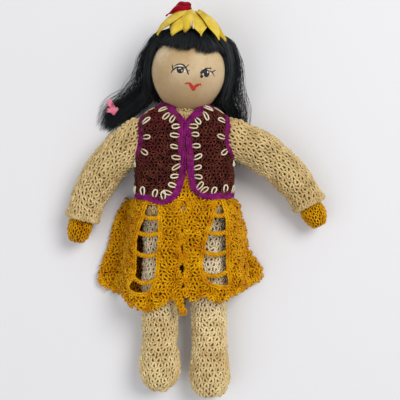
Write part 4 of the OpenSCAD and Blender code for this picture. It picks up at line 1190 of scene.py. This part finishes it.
stamens = []
for k, turn_to in enumerate(np.radians([-1, 4, 8])):
    reach = np.radians(np.linspace(3, [33, 38, 30][k], 9))
    high = CAP + 1.6 + 2.4 * np.sin(np.linspace(1.5, 3.0, 9))
    line = head_at + high[:, None] * head_ray(turn_to, reach)
    knob = np.interp(np.arange(9), [0, 6, 7, 8], [1, 1, 2.3, 1.2])
    stamens.append(tubes(line[None], 0.16, neck_way, sides=5, taper=knob))
u, v = np.meshgrid(np.arange(16) / 16 * 2 * np.pi, np.linspace(0.05, 3.09, 8))
button = np.stack([2.2 * np.sin(v) * np.cos(u), 1.2 * np.cos(v), 2.2 * np.sin(v) * np.sin(u)], -1)
button = button + [0, CAP + DOME + 0.2, 0]
centre = together("flower_stamens", sheet_grid(local(button), tone=0, closed_u=True), *stamens)
wear(centre, cream, "head")
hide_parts("flower_centre")

t, w = np.meshgrid(np.linspace(0, 1, 16), np.linspace(-1, 1, 9), indexing="ij")
half = 1.9 * np.sin(np.pi * np.clip(0.12 + 0.86 * t, 0, 1)) ** 0.8 * (1 - 0.4 * t) + 0.3 * np.sin(11 * t + 1)
red_line = np.stack([-0.6 - 9.8 * t, 23.0 + 1.2 * np.sin(2.6 * t) - 3.4 * t ** 2 + w * half,
                     1.5 + 1.8 * np.sin(np.pi * t) - 1.3 * w ** 2 * np.sin(np.pi * t) + 0.3
                     * np.sin(9 * t + 2 * w)], -1)
under_line = red_line * [0.8, 1, 1] + [-0.4, 1.5, -1.2]
red = together("red_petal", thin_cloth(local(red_line), 0.3), thin_cloth(local(under_line), 0.3))
wear(red, satin_material("dark red satin", (0.24, 0.002, 0.010), (0.36, 0.006, 0.022),
                         (0.10, 0.001, 0.005)), "head")
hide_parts("red_bud")

# Studio: a pale floor under the doll, a large soft light from the upper right and a weak fill.

def plain_material(name, colour, rough):
    mat = bpy.data.materials.new(name)
    mat.use_nodes = True
    shader = mat.node_tree.nodes["Principled BSDF"]
    shader.inputs["Base Color"].default_value = (*colour, 1)
    shader.inputs["Roughness"].default_value = rough
    return mat


floor_points = np.array([[[-900, -900, 0], [900, -900, 0]], [[-900, 900, 0], [900, 900, 0]]], float)
floor = together("floor", sheet_grid(floor_points, tone=0))
floor.data.materials.append(plain_material("pale paper", (0.775, 0.772, 0.79), 0.85))


def soft_light(name, place, aim, size, power, colour):
    """An area light at place, in metres, pointed at aim."""
    lamp = bpy.data.lights.new(name, "AREA")
    lamp.shape, lamp.size, lamp.energy, lamp.color = "DISK", size, power, colour
    holder = bpy.data.objects.new(name, lamp)
    way = Vector(aim) - Vector(place)
    holder.matrix_world = Matrix.Translation(place) @ way.to_track_quat("-Z", "Y").to_matrix().to_4x4()
    bpy.context.scene.collection.objects.link(holder)


soft_light("window", (0.45, 0.35, 0.75), (0, 0, 0), 0.55, 5.4, (1.0, 0.985, 0.96))
soft_light("fill", (-0.5, -0.3, 0.8), (0, 0, 0), 0.9, 2.3, (0.97, 0.98, 1.0))
world = bpy.data.worlds.new("studio")
world.use_nodes = True
world.node_tree.nodes["Background"].inputs["Color"].default_value = (0.96, 0.97, 1.0, 1)
world.node_tree.nodes["Background"].inputs["Strength"].default_value = 0.48
bpy.context.scene.world = world
bpy.context.scene.view_settings.view_transform = "Standard"

camera = bpy.data.cameras.new("camera")
camera.sensor_width, camera.lens, camera.clip_end = 36.0, 75.0, 10
viewer = bpy.data.objects.new("camera", camera)
viewer.location = (0.0062, 0.0036, 0.0124 + 0.160 * 75 / 36)
bpy.context.scene.collection.objects.link(viewer)
bpy.context.scene.camera = viewer
